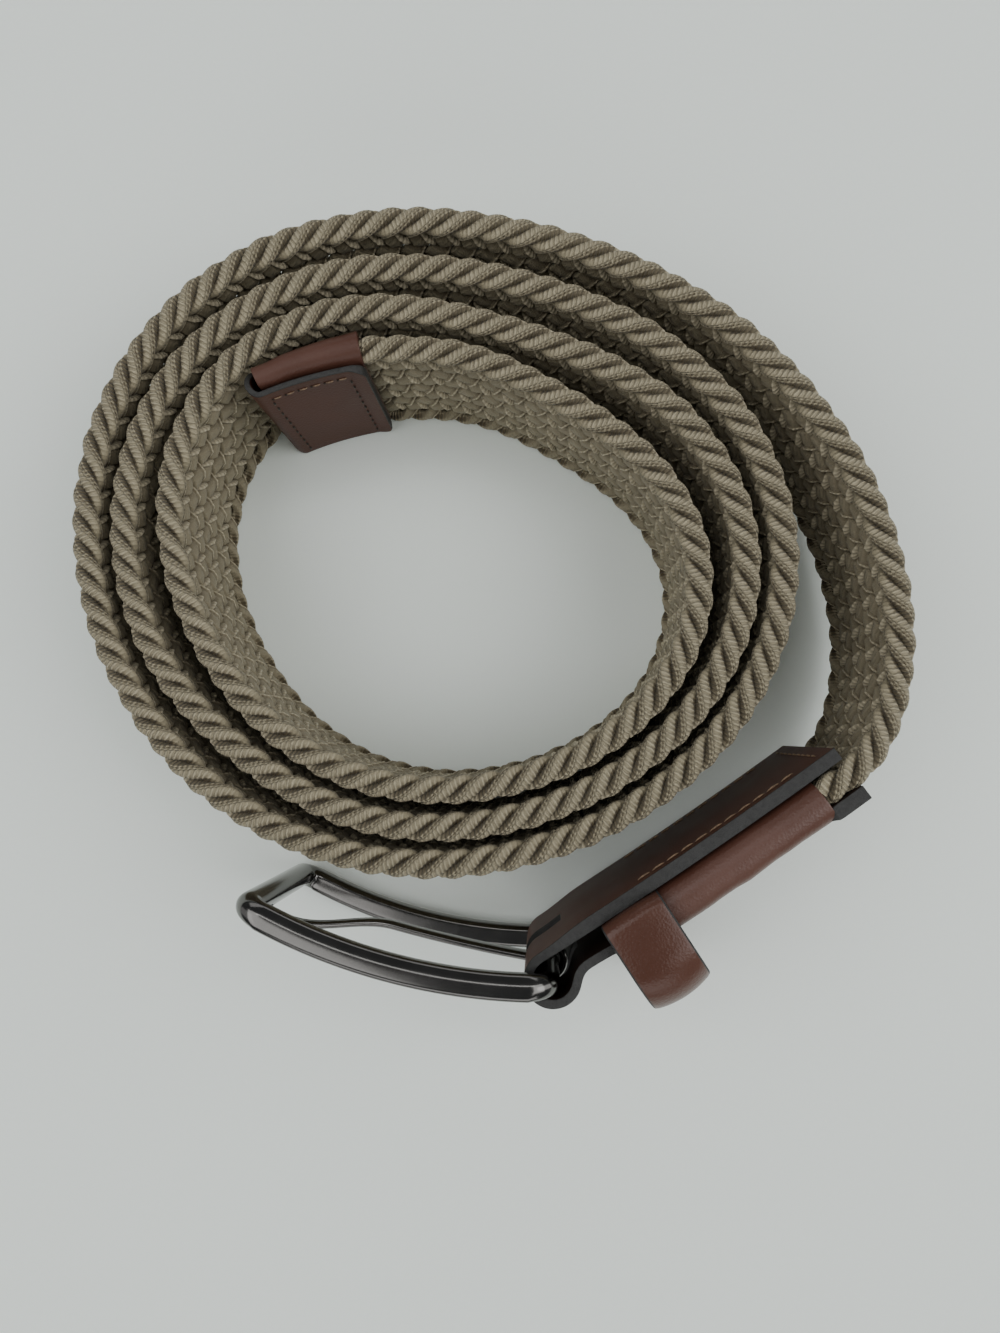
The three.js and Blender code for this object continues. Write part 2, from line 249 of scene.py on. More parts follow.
LEG_FACE = BAND_THICKNESS / 2 + SEAT_GAP
LOOP_RADIUS = HINGE_BAR_RADIUS + LOOP_SLACK + OUTER_LEG_THICKNESS / 2
HINGE_SETBACK = LOOP_SLACK - SEAT_GAP
LOOP_DISTANCE = ROUTE_LENGTH - HINGE_SETBACK
LOOP_CENTRE = beside(LOOP_DISTANCE, LOOP_RADIUS - LEG_FACE - OUTER_LEG_THICKNESS / 2)
HINGE = LOOP_CENTRE + HINGE_SETBACK * heading(TAB_END_HEADING)


# Meshes


def signed_volume(points, quads):
    """Six times the volume inside faces of four corners, above zero where they face outwards."""
    a, b, c, d = (points[quads[:, corner]] for corner in range(4))
    return np.einsum("ij,ij->", a, np.cross(b, c)) + np.einsum("ij,ij->", a, np.cross(c, d))


def outward_faces(points, quads):
    """The faces turned round where the signed volume of their solid is negative."""
    return quads if signed_volume(points, quads) > 0 else quads[:, ::-1]


def add_mesh(name, points, quads, materials, maps=None, material_index=None):
    """A mesh object from points in millimetres and faces of four corners, facing outwards:
    the faces are turned round where the solid's signed volume is negative. Each map holds two
    numbers for every corner of every face."""
    if signed_volume(points, quads) < 0:
        quads = quads[:, ::-1]
        maps = {label: values[:, ::-1] for label, values in (maps or {}).items()}
    mesh = bpy.data.meshes.new(name)
    mesh.vertices.add(len(points))
    mesh.vertices.foreach_set("co", (points * MM).astype(np.float32).ravel())
    mesh.loops.add(quads.size)
    mesh.loops.foreach_set("vertex_index", quads.astype(np.int32).ravel())
    mesh.polygons.add(len(quads))
    mesh.polygons.foreach_set("loop_start", np.arange(0, quads.size, 4, dtype=np.int32))
    mesh.polygons.foreach_set("use_smooth", np.full(len(quads), True))
    for material in materials:
        mesh.materials.append(material)
    if material_index is not None:
        mesh.polygons.foreach_set("material_index", material_index.astype(np.int32))
    for label, values in (maps or {}).items():
        layer = mesh.uv_layers.new(name=label)
        layer.data.foreach_set("uv", values.astype(np.float32).ravel())
    mesh.update(calc_edges=True)
    mesh.validate()
    piece = bpy.data.objects.new(name, mesh)
    bpy.context.scene.collection.objects.link(piece)
    return piece


def grid_quads(rows, columns, wrap_rows, wrap_columns):
    """Corner numbers of the faces between neighbours of a grid, row by row."""
    row = np.arange(rows if wrap_rows else rows - 1)[:, None]
    column = np.arange(columns if wrap_columns else columns - 1)[None]
    corners = [(row, column), (row, column + 1), (row + 1, column + 1), (row + 1, column)]
    stacked = [(r % rows) * columns + (c % columns) for r, c in corners]
    return np.stack([np.broadcast_to(s, (row.size, column.size)) for s in stacked], -1).reshape(-1, 4)


def tube_grid(points, maps=None, wrap_rows=False):
    """Points, faces and corner maps of a surface swept along rows and round in its columns. Where
    the rows don't close, the middles of the first and last row are repeated as rings of their own."""
    maps = maps or {}
    if not wrap_rows:
        ends = points[[0, -1]].mean(1, keepdims=True) + 0 * points[[0, -1]]
        points = np.concatenate([ends[:1], points, ends[1:]])
        maps = {label: np.concatenate([v[:1], v, v[-1:]]) for label, v in maps.items()}
    rows, columns = points.shape[:2]
    corner = grid_quads(rows, columns + 1, False, False)
    corner_maps = {label: v.reshape(-1, 2)[corner] for label, v in maps.items()}
    return points.reshape(-1, 3), grid_quads(rows, columns, wrap_rows, True), corner_maps


def add_tube(name, points, materials, maps=None, wrap_rows=False):
    """One closed piece from a grid of points."""
    flat, quads, corner_maps = tube_grid(points, maps, wrap_rows)
    return add_mesh(name, flat, quads, materials, corner_maps)


def add_shell(name, wall, thickness, material):
    """A closed sleeve: its inner wall's rings one way and its outer wall's rings back."""
    rings = np.concatenate([wall(thickness), wall(0)[::-1]])
    return add_tube(name, rings, [material], wrap_rows=True)


def add_plate(name, side, other, materials, keep=None, wrap=False, painted_shade_skin=0):
    """A thin plate between two grids of points: a skin over each, and walls in the second material
    wherever a kept cell meets a missing one or the border. The first grid's skin takes the material of
    the number given last, which the tab uses for leather darkened as painted shade."""
    rows, columns = side.shape[:2]
    spans = rows if wrap else rows - 1
    keep = np.ones((spans, columns - 1), bool) if keep is None else keep
    quads = grid_quads(rows, columns, wrap, False)[keep.ravel()]
    count = rows * columns
    edges = np.concatenate([quads[:, [k, (k + 1) % 4]] for k in range(4)])
    key = np.sort(edges, 1) @ np.array([count, 1])
    _, inverse, times = np.unique(key, return_inverse=True, return_counts=True)
    border = edges[times[inverse] == 1]
    walls = np.stack([border[:, 1], border[:, 0], border[:, 0] + count, border[:, 1] + count], -1)
    faces = np.concatenate([quads, quads[:, ::-1] + count, walls])
    index = np.repeat([painted_shade_skin, 0, 1], [len(quads), len(quads), len(walls)])
    points = np.concatenate([side.reshape(-1, 3), other.reshape(-1, 3)])
    used, compact = np.unique(faces, return_inverse=True)
    return add_mesh(name, points[used], compact.reshape(-1, 4), materials, material_index=index)


def bevel(piece, width, segments=2, material=-1):
    """Rounds a piece's edges by a width in millimetres, in a material of their own if one is given."""
    modifier = piece.modifiers.new("Rounded edges", "BEVEL")
    modifier.width = width * MM
    modifier.segments = segments
    modifier.limit_method = "ANGLE"
    modifier.angle_limit = np.radians(40)
    modifier.material = material


def settle(piece, body, slot, *nodes):
    """Joins a finished piece to the body it moves with and hides the solids it stands for; the slot for its
    finish is not used.
    """
    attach(piece, body)
    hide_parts(*nodes)
    return piece


def superellipse(count, half_width, half_depth, power):
    """Closed outline: half sizes times the cosine and sine raised to two over the power."""
    angle = np.linspace(0, 2 * np.pi, count, endpoint=False)
    cosine, sine = np.cos(angle), np.sin(angle)
    return np.stack([
        half_width * np.sign(cosine) * np.abs(cosine) ** (2 / power),
        half_depth * np.sign(sine) * np.abs(sine) ** (2 / power),
    ], -1)


def arc_lengths(points):
    """Distance run along a line of points."""
    return np.concatenate([[0], np.cumsum(np.linalg.norm(np.diff(points, axis=0), axis=1))])


# Node trees


class Wire:
    """An output of a node; arithmetic on it adds Math nodes."""

    def __init__(self, shading, socket):
        self.shading = shading
        self.socket = socket

    def _math(self, operation, *values):
        return self.shading.add("ShaderNodeMath", {"operation": operation}, dict(enumerate(values)))

    def __add__(self, other):
        return self._math("ADD", self, other)

    __radd__ = __add__

    def __sub__(self, other):
        return self._math("SUBTRACT", self, other)

    def __rsub__(self, other):
        return self._math("SUBTRACT", other, self)

    def __mul__(self, other):
        return self._math("MULTIPLY", self, other)

    __rmul__ = __mul__

    def __truediv__(self, other):
        return self._math("DIVIDE", self, other)

    def __rtruediv__(self, other):
        return self._math("DIVIDE", other, self)


class Shading:
    """A material and its node tree; add makes any node, and principled ends it."""

    def __init__(self, name):
        self.material = bpy.data.materials.new(name)
        self.material.use_nodes = True
        self.tree = self.material.node_tree
        self.tree.nodes.clear()

    def add(self, kind, settings=None, inputs=None, output=0):
        """A node of a type, its settings first, then the values or wires of its sockets."""
        node = self.tree.nodes.new(kind)
        for key, value in (settings or {}).items():
            setattr(node, key, value)
        for key, value in (inputs or {}).items():
            if isinstance(value, Wire):
                self.tree.links.new(value.socket, node.inputs[key])
            else:
                node.inputs[key].default_value = value
        return Wire(self, node.outputs[output]) if len(node.outputs) else None

    def mix(self, first, second, share):
        """One colour turning into another as the share goes from 0 to 1."""
        ends = {6: opaque(first), 7: opaque(second), 0: share}
        return self.add("ShaderNodeMix", {"data_type": "RGBA"}, ends, 2)

    def noise(self, vector, scale, detail=2, roughness=0.5):
        """Noise from 0 to 1 over a vector, in cells to the unit."""
        inputs = {"Vector": vector, "Scale": scale, "Detail": detail, "Roughness": roughness}
        return self.add("ShaderNodeTexNoise", {}, inputs)

    def wave(self, turns):
        """Cosine of a number of turns, from 0 at half turns to 1 at whole ones."""
        cosine = self.add("ShaderNodeMath", {"operation": "COSINE"}, {0: turns * (2 * np.pi)})
        return cosine * 0.5 + 0.5

    def rising(self, value, low, high):
        """Smooth step from 0 at low to 1 at high."""
        return self.add(
            "ShaderNodeMapRange", {"interpolation_type": "SMOOTHSTEP"},
            {"Value": value, "From Min": low, "From Max": high},
        )

    def map_part(self, name, number):
        """One of the two numbers of a surface map."""
        surface_map = self.add("ShaderNodeUVMap", {"uv_map": name})
        return self.add("ShaderNodeSeparateXYZ", {}, {0: surface_map}, number)

    def object_place(self):
        """Place on the piece, in metres of the shared frame."""
        return self.add("ShaderNodeTexCoord", output=3)

    def bump(self, height, distance, strength=1.0):
        """Normal of a surface raised by height times distance in metres."""
        return self.add(
            "ShaderNodeBump", {}, {"Height": height, "Distance": distance, "Strength": strength},
        )

    def principled(self, **sockets):
        """Ends the tree in a Principled surface whose sockets are named with underscores."""
        inputs = {name.replace("_", " "): value for name, value in sockets.items()}
        surface = self.add("ShaderNodeBsdfPrincipled", {}, inputs)
        self.add("ShaderNodeOutputMaterial", {}, {"Surface": surface})
        return self.material


def opaque(colour):
    """A colour of three numbers, or a wire, as a colour socket takes it."""
    return colour if isinstance(colour, Wire) else (*colour, 1)


# What a user may change


def length(name, description, value):
    """A length property with a default in millimetres."""
    return FloatProperty(name=name, description=description, default=value * MM, min=0, unit="LENGTH",
                         precision=5)


def tint(name, description, value):
    """A colour property with a default in linear light."""
    return FloatVectorProperty(name=name, description=description, default=value, size=3, min=0, max=1,
                               subtype="COLOR")


class BraidSettings(bpy.types.PropertyGroup):
    """Sizes and colours of the woven cords"""

    crossings: IntProperty(name="Crossings", description="Crossings from edge to edge", default=9, min=3)
    pitch: length("Pitch", "Distance along the band between neighbouring cords", 4.6)
    row_step: length("Row step", "Distance across the band between crossings", 3.65)
    half_gap: length("Half gap", "From the band's middle to the middle of a cord on its face", 1.42)
    face_half_width: length("Half width on a face", "Half of a cord's width where it lies flat", 1.76)
    face_half_depth: length("Half depth on a face", "Half of a cord's thickness where it lies flat", 0.95)
    edge_half_width: length("Half width at an edge", "Half of a cord's width where it turns", 1.25)
    edge_half_depth: length("Half depth at an edge", "Half of a cord's thickness where it turns", 1.36)
    rib_pitch: length("Rib pitch", "Distance between the knitted ribs of a cord", 0.76)
    colour: tint("Cord", "Colour of the cord's ribs", (0.42, 0.37, 0.25))
    # Colour between the ribs, and the dark end of the cord's painted shade in grooves, on flanks and where
    # it is sunk
    valley_and_painted_shade: tint("Valley", "Colour between the ribs", (0.075, 0.056, 0.027))
    face: tint("Flat part", "Colour of the cord where it lies flat on a face", (0.30, 0.262, 0.172))
    # The rim's bead stands proud in the shape; its pale colour is a painted highlight on the bead's lit
    # shoulder
    rim: tint("Rim", "Colour of the beaded rim", (0.56, 0.5, 0.355))


class LeatherSettings(bpy.types.PropertyGroup):
    """Colours of the leather, its painted edges and its thread"""

    colour: tint("Leather", "Colour of the coated face", (0.074, 0.03, 0.0195))
    # The leather's rubbed colour: real wear, drifting at random over the face
    wear_and_painted_shade: tint("Worn leather", "Colour where the face is rubbed", (0.098, 0.043, 0.03))
    edge_paint: tint("Edge paint", "Colour of the cut edges", (0.03, 0.03, 0.0285))
    thread: tint("Thread", "Colour of the stitches", (0.31, 0.205, 0.125))


class BuckleSettings(bpy.types.PropertyGroup):
    """Colour of the buckle"""

    colour: tint("Gunmetal", "Colour of the plated metal", (0.165, 0.16, 0.153))


class StageSettings(bpy.types.PropertyGroup):
    """Floor and light"""

    floor: tint("Floor", "Colour of the floor", (0.91, 0.98, 0.925))
    sky_strength: FloatProperty(name="Sky", description="Strength of the light from all round",
                                default=0.12, min=0)
    lamp_power: FloatProperty(name="Lamps", description="Power of the soft lamps, for each square metre",
                              default=5.7, min=0, unit="POWER")


# Woven cords


EDGE_FULLNESS = 0.38
# A cord is tucked in at the belt's upper inner rim, and narrowed at every rim, by these shares, and
# both changes fade over a span in millimetres
RIM_TUCK = 0.16
RIM_TUCK_SPAN = 1.8
RIM_NARROWING = 0.32
RIM_NARROWING_SPAN = 1.3
# Thickness and height of the band inside the leather, as shares
PRESSED_THICKNESS = 0.62
PRESSED_HEIGHT = 0.93
# Spread in millimetres of a cord's own height and offset, and the length between its changes
HEIGHT_SPREAD = 0.1
OFFSET_SPREAD = 0.05
SPREAD_LENGTH = 5.0


def cord_cycle(braid, samples=4800):
    """One cord's way round the band over a full cycle along it: height from the band's middle,
    offset from its middle line, turn of its flat side, half width, half depth, share of turning
    and share of the way over the edge from the inner side.

    It climbs one face with straight steps while its offset follows the cosine of the crossings it has
    passed. Over the edge its height follows the sine of the angle turned and its offset the cosine
    times one plus a share of that sine; it comes down the other face the same way. Its half width
    narrows to the rims by a share of one less the sine cubed, and widens on the face from there by
    one less a bell curve of the distance. The upper inner rim takes a bell curve off its offset."""
    pitch, rise, gap = braid.pitch / MM, braid.row_step / MM, braid.half_gap / MM
    rows = braid.crossings
    climb = (rows - 1) * pitch / 2
    over = 2 * pitch
    cycle = 2 * (climb + over)
    run = np.arange(samples) / samples * cycle
    last_row = (rows - 1) / 2 * rise
    edge = BAND_HEIGHT / 2 - braid.edge_half_depth / MM - last_row

    half = run % (cycle / 2)
    side = np.where(run < cycle / 2, 1.0, -1.0)
    climbing = half < climb
    passed = np.clip(half / (pitch / 2), 0, rows - 1)
    turned = np.clip((half - climb) / over, 0, 1) * np.pi
    height = side * np.where(climbing, passed * rise - last_row, last_row + edge * np.sin(turned))
    weave = np.cos(np.pi * passed)
    swing = np.cos(turned) * (1 + EDGE_FULLNESS * np.sin(turned))
    offset = -side * gap * np.where(climbing, weave, swing)
    turn = turned + np.where(side > 0, 0, np.pi)
    offset *= 1 - RIM_TUCK * np.exp(-(((run - climb) / RIM_TUCK_SPAN) ** 2))
    turning = np.sin(turned) ** 0.55
    to_rim = np.where(climbing, np.minimum(half, climb - half), 0)
    narrow = braid.edge_half_width * (1 - RIM_NARROWING * (1 - np.sin(turned) ** 3))
    near_rim = np.exp(-((to_rim / RIM_NARROWING_SPAN) ** 2))
    width = braid.face_half_width + (narrow - braid.face_half_width) * near_rim
    depth = braid.face_half_depth + (braid.edge_half_depth - braid.face_half_depth) * turning

    waves = np.fft.rfftfreq(samples, cycle / samples)
    blur = np.exp(-2 * (np.pi * waves * 0.5) ** 2)
    smooth = [np.fft.irfft(np.fft.rfft(values) * blur, samples) for values in (height, offset)]
    crossed = np.where(run < cycle / 2, turned, np.pi - turned) / np.pi
    return cycle, np.stack([*smooth, turn, width / MM, depth / MM, turning, crossed])


# columns: share of the half width, share of the half depth, of the upper side of a flat cord;
# a beaded rim stands along its one flank
FLAT_CORD = np.array([
    (-1.06, 0.0),
    (-1.02, 0.42),
    (-0.92, 0.6),
    (-0.78, 0.52),
    (-0.4, 0.66),
    (0.05, 0.7),
    (0.42, 0.62),
    (0.64, 0.5),
    (0.76, 0.82),
    (0.92, 0.98),
    (1.06, 0.7),
    (1.1, 0.0),
])
# radius of a turning cord's upper side at even angles, as a share
ROUND_CORD = np.array([1.0, 1.0, 1.0, 1.0, 1.0, 1.0, 1.0, 0.98, 0.96, 1.06, 1.06, 1.0])


def cord_sections():
    """The flat and the round section as closed outlines with as many points each, front side first."""
    angle = np.linspace(np.pi, 0, len(ROUND_CORD))
    round_ = ROUND_CORD[:, None] * heading(angle)
    return [np.concatenate([front, (front * (1, -1))[-2:0:-1]]) for front in (FLAT_CORD, round_)]


def cord_points(braid, number, start, end, step=0.7):
    """Points and three surface maps of one cord: its section carried along its way round the band.

    Its way is the cycle read at the distance run plus the cord's number of pitches. Near the
    leather the band is pressed thinner and lower by one smooth step at each mouth, and nothing
    lies below the floor."""
    cycle, table = cord_cycle(braid)
    distance = np.arange(start, end, step)
    run = (distance + number * braid.pitch / MM) % cycle
    grid = np.linspace(0, cycle, table.shape[1], endpoint=False)
    height, offset, width, depth, turning, crossed = (
        np.interp(run, grid, table[k], period=cycle) for k in (0, 1, 3, 4, 5, 6)
    )
    turn = np.interp(run, np.append(grid, cycle), np.append(table[2], 2 * np.pi))

    rng = np.random.default_rng(40 + number)
    knots = np.arange(start - 2 * SPREAD_LENGTH, end + 2 * SPREAD_LENGTH, SPREAD_LENGTH)
    height += np.interp(distance, knots, rng.normal(0, HEIGHT_SPREAD, len(knots)))
    offset += np.interp(distance, knots, rng.normal(0, OFFSET_SPREAD, len(knots)))
    free = smoothstep(distance, CAP_LENGTH - 1.5, CAP_LENGTH + 1.5)
    free *= 1 - smoothstep(distance, SLEEVE_MOUTH - 1.5, SLEEVE_MOUTH + 1.5)
    thin = PRESSED_THICKNESS + (1 - PRESSED_THICKNESS) * free
    height *= PRESSED_HEIGHT + (1 - PRESSED_HEIGHT) * free
    offset *= thin
    depth *= thin

    plan = beside(distance, offset)
    middle = np.column_stack([plan, lift_at(distance) + BAND_HEIGHT / 2 + height])
    along = np.gradient(middle, axis=0)
    along /= np.linalg.norm(along, axis=1)[:, None]
    outward = across_at(distance)
    flat = np.column_stack([-np.cos(turn)[:, None] * outward, np.sin(turn)])
    flat -= (flat * along).sum(1)[:, None] * along
    flat /= np.linalg.norm(flat, axis=1)[:, None]
    sideways = np.cross(along, flat)
    flat_section, round_section = cord_sections()
    share = turning[:, None, None]
    section = flat_section * (1 - share) + round_section * share
    across, up = section[..., 0], section[..., 1]
    points = middle[:, None] + (width[:, None] * across)[..., None] * sideways[:, None]
    points += (depth[:, None] * up)[..., None] * flat[:, None]
    points[..., 2] = np.maximum(points[..., 2], 0)

    closed = np.concatenate([across, across[:, :1]], 1)
    surface = np.stack([arc_lengths(middle)[:, None] + 0 * closed, width[:, None] * closed], -1)
    place = np.stack([crossed[:, None] + 0 * closed, closed], -1)
    proud = np.abs(offset) / (braid.half_gap / MM)
    weave = np.stack([proud[:, None] + 0 * closed, 0 * closed], -1)
    return points, {"Surface": surface, "Place": place, "Weave": weave}


def cord_finish(braid):
    """Knitted cord: ribs across it in two columns half a rib apart, a beaded rim along its one flank
    with a dark seam and small holes beside it, and a fine yarn. Ribs follow the length in
    millimetres. They and the painted shade on the flanks and in the grooves are strong where the cord
    turns over an edge. On a face the cord is painted darker where it dives under its neighbour, and
    the rim is painted pale as a highlight where it lies flat."""
    s = Shading("Knitted cord")
    lengthwise = s.map_part("Surface", 0)
    millimetres = s.map_part("Surface", 1)
    crossed = s.map_part("Place", 0)
    across = s.map_part("Place", 1)
    proud = s.map_part("Weave", 0)
    reach = s.add("ShaderNodeMath", {"operation": "ABSOLUTE"}, {0: across})
    edge = s.rising(crossed, 0.0, 0.3) * (1 - s.rising(crossed, 0.86, 0.99))
    knotted = 0.6 + 0.4 * s.rising(crossed, 0.15, 0.55)
    pitch = braid.rib_pitch / MM
    object_place = s.object_place()
    yarn = s.noise(object_place, 5200, 3)
    drift = s.noise(object_place, 70, 2)
    uneven = s.noise(object_place, 1100, 2)
    column = s.rising(across, 0.3, 0.4)
    rib = s.wave((lengthwise + millimetres * 0.22 + column * 0.34 + uneven * 0.45) / pitch)
    middle = s.rising(across, 0.2, 0.32) * (1 - s.rising(across, 0.38, 0.5))
    # Painted shade: a turning cord is darkened towards both its flanks, to look rounded
    flank = s.rising(reach, 0.3, 0.95) * edge
    bead = s.wave((lengthwise + uneven * 0.3 + 0.3) / pitch)
    rim = s.rising(across, 0.74, 0.84)
    seam = s.rising(across, 0.52, 0.66) * (1 - s.rising(across, 0.72, 0.82))
    # The groove between neighbouring cords: sunk in the bump, and darkened in colour as painted shade
    groove_and_painted_shade = s.rising(reach, 0.88, 1.04) * edge
    holes = seam * (1 - s.rising(bead, 0.25, 0.75)) * s.rising(uneven, 0.35, 0.6) * (0.15 + 0.6 * edge)
    # Painted shade: on a face the cord is darkened where it lies near the band's middle, diving under its
    # neighbour
    sunk = 1 - s.rising(proud, 0.15, 0.8)
    flat = 0.52 + rib * 0.1 + yarn * 0.34
    turned = 0.3 + rib * 0.75 * knotted + yarn * 0.16 - middle * 0.25
    body = flat + (turned - flat) * edge
    beaded = 0.62 + bead * (0.2 + 0.3 * edge)
    relief = body + (beaded - body) * rim - seam * 0.12 - holes * 0.5 - groove_and_painted_shade * 0.3
    raised = (rib * 0.56 - 0.2 - middle * 0.14) * edge * knotted
    # Lightness of the cord from its ribs and yarn, with painted shade taken off where it is sunk on a face
    wear_and_painted_shade = 0.66 + raised + yarn * 0.26 - sunk * 0.5 * (1 - edge)
    light = s.rising(wear_and_painted_shade - seam * 0.12 - holes * 0.7 - groove_and_painted_shade * 0.8 - flank * 0.26, 0.05, 0.98)
    tone = s.mix(braid.valley_and_painted_shade, s.mix(braid.face, braid.colour, edge), light)
    # Painted highlight: the rim is painted pale, most where the cord lies flat on a face, and less where it
    # is sunk
    beads_painted_highlight = s.mix(braid.valley_and_painted_shade, braid.rim, 0.62 + bead * 0.38)
    base = s.mix(tone, beads_painted_highlight, rim * (1 - edge * 0.8) * (0.95 - sunk * 0.6))
    faded = s.mix(base, tuple(c * 1.15 for c in braid.colour), s.rising(drift, 0.45, 0.8) * 0.12)
    return s.principled(
        Base_Color=faded,
        Roughness=0.68,
        Specular_IOR_Level=0.34,
        Sheen_Weight=0.08,
        Sheen_Roughness=0.5,
        Normal=s.bump(relief, 0.0007),
    )


class BELT_OT_cords(bpy.types.Operator):
    """Weaves the band from its cords, one piece each"""

    bl_idname = "belt.cords"
    bl_label = "Woven cords"

    def execute(self, context):
        braid = context.scene.belt_braid
        finish = cord_finish(braid)
        # A cycle is as many pitches long as there are crossings, and three more for the two turns
        for number in range(braid.crossings + 3):
            points, maps = cord_points(braid, number, CAP_LENGTH - 5, SLEEVE_MOUTH + 5)
            piece = add_tube(f"cord_{number + 1}", points, [finish], maps)
            settle(piece, "belt", "cord", "strap")
        return {"FINISHED"}


# Leather


def leather_finish(leather, name="Coated leather", gloss=0.5, tone=1.0, shine=0.14):
    """Coated leather: fine pebbled grain from two noises, and a rubbed tone that drifts over it."""
    s = Shading(name)
    place = s.object_place()
    grain = s.add("ShaderNodeTexVoronoi", {"feature": "F1"}, {"Vector": place, "Scale": 2300}, 0)
    fine = s.noise(place, 3800, 2)
    drift = s.noise(place, 90, 3)
    rubbed = s.rising(drift, 0.35, 0.7) * 0.6 + s.rising(fine, 0.5, 0.8) * 0.15
    return s.principled(
        Base_Color=s.mix([c * tone for c in leather.colour], [c * tone for c in leather.wear_and_painted_shade], rubbed),
        Roughness=gloss - 0.08 + 0.2 * drift,
        Specular_IOR_Level=shine,
        Coat_Weight=0.05,
        Coat_Roughness=0.25,
        Normal=s.bump(grain * 0.8 + fine * 0.5, 0.00005, 0.8),
    )


def paint_finish(leather):
    """Painted edge: matt and slightly rough, with fine pits."""
    s = Shading("Painted edge")
    place = s.object_place()
    rough = s.noise(place, 900, 5, 0.7)
    tone = s.mix(tuple(c * 0.7 for c in leather.edge_paint), leather.edge_paint, s.rising(rough, 0.35, 0.6))
    return s.principled(Base_Color=tone, Roughness=0.62, Normal=s.bump(rough, 0.0004))


def thread_finish(leather, name, share):
    """Sewing thread: twisted strands as slanted bands in the noise."""
    s = Shading(name)
    twist = s.noise(s.object_place(), 3000, 1)
    dark = tuple(c * share * 0.55 for c in leather.thread)
    light = tuple(c * share for c in leather.thread)
    tone = s.mix(dark, light, s.rising(twist, 0.35, 0.6))
    return s.principled(Base_Color=tone, Roughness=0.6, Normal=s.bump(twist, 0.00006))


def leather_finishes(context):
    """The coated face and the painted edge, made once."""
    leather = context.scene.belt_leather
    names = ("Coated leather", "Painted edge")
    found = [bpy.data.materials.get(name) for name in names]
    return found if all(found) else [leather_finish(leather), paint_finish(leather)]


def strip_grid(middle, thickness, foot, height, rows, corner=0.0, drop=0.0):
    """Two upright grids half a thickness either side of a middle line in plan, foot to top.

    With a corner radius, both ends of the strip are rounded: the height shrinks by the sagitta of
    a circle of that radius within it. Top and foot are drawn in further by the drop."""
    along = np.gradient(middle, axis=0)
    along /= np.linalg.norm(along, axis=1)[:, None]
    out = np.column_stack([-along[:, 1], along[:, 0]]) * (np.asarray(thickness) / 2)[:, None]
    run = arc_lengths(middle)
    if corner:
        inside = np.clip(corner - np.minimum(run, run[-1] - run), 0, corner)
        cut = corner - np.sqrt(corner**2 - inside**2)
    else:
        cut = np.zeros(len(run))
    cut = cut + drop
    share = np.linspace(0, 1, rows)
    low = foot + cut
    high = foot + height - cut
    z = low[:, None] + (high - low)[:, None] * share
    sides = []
    for sign in (1, -1):
        plan = np.broadcast_to((middle + sign * out)[:, None], (len(run), rows, 2))
        sides.append(np.concatenate([plan, z[..., None]], -1))
    return sides


def stitch_row(starts, ends, lift, radius):
    """Capsules from starts to ends, arched along lift: each a tube whose radius follows the square
    root of four times share by one less share."""
    share = np.linspace(0.02, 0.98, 7)
    swell = (4 * share * (1 - share)) ** 0.5
    line = starts[:, None] + (ends - starts)[:, None] * share[:, None]
    line = line + lift[:, None] * (radius * 0.7 * swell)[:, None]
    along = (ends - starts) / np.linalg.norm(ends - starts, axis=1)[:, None]
    side = np.cross(along, lift)
    angle = np.linspace(0, 2 * np.pi, 7)[:-1]
    ring = np.cos(angle)[:, None] * side[:, None, None] + np.sin(angle)[:, None] * lift[:, None, None]
    return line[:, :, None] + ring * (radius * swell)[:, None, None]


def add_stitches(name, rows, materials):
    """One mesh of many stitches; rows holds the starts, ends, directions out of the leather,
    radius and material number of each run."""
    points, quads, index = [], [], []
    base = 0
    for starts, ends, lift, radius, material in rows:
        capsules = stitch_row(starts, ends, lift, radius)
        count, rings, around = capsules.shape[:3]
        one = grid_quads(rings + 2, around, False, True)
        tips = capsules[:, [0, -1]].mean(2, keepdims=True) + 0 * capsules[:, [0, -1]]
        capsules = np.concatenate([tips[:, :1], capsules, tips[:, 1:]], 1)
        size = (rings + 2) * around
        shift = base + np.arange(count)[:, None, None] * size
        quads.append((one[None] + shift).reshape(-1, 4))
        points.append(capsules.reshape(-1, 3))
        index.append(np.full(count * len(one), material))
        base += count * size
    return add_mesh(name, np.concatenate(points), np.concatenate(quads), materials,
                    material_index=np.concatenate(index))


def dashes(along, height, outward, count, share=0.72):
    """Starts and ends of stitches laid along a line on an upright face: the line's plan points and
    heights are read at even spacing, and each stitch fills a share of its space."""
    run = arc_lengths(np.column_stack([along, height]))
    step = run[-1] / count
    begin = np.arange(count) * step + step * (1 - share) / 2
    read = [np.interp(begin, run, column) for column in (*along.T, height)]
    stop = [np.interp(begin + step * share, run, column) for column in (*along.T, height)]
    normal = np.column_stack([np.interp(begin, run, column) for column in outward.T])
    lift = np.column_stack([normal, np.zeros(count)])
    return np.column_stack(read), np.column_stack(stop), lift / np.linalg.norm(lift, axis=1)[:, None]


def cap_half(distance):
    """Half thickness of the leather cap, thinner at the belt's end."""
    share = np.clip(distance / CAP_LENGTH, 0, 1)
    return (CAP_END_THICKNESS + (BAND_THICKNESS - CAP_END_THICKNESS) * share) / 2


TIP_STIFFNESS = 0.6
OUTER_LEG_DROP = 2.6
# Millimetres by which the end of the folded strip's inner leg stands off and thickens
LEG_SPREAD = 0.35
LEG_FLARE = 0.7


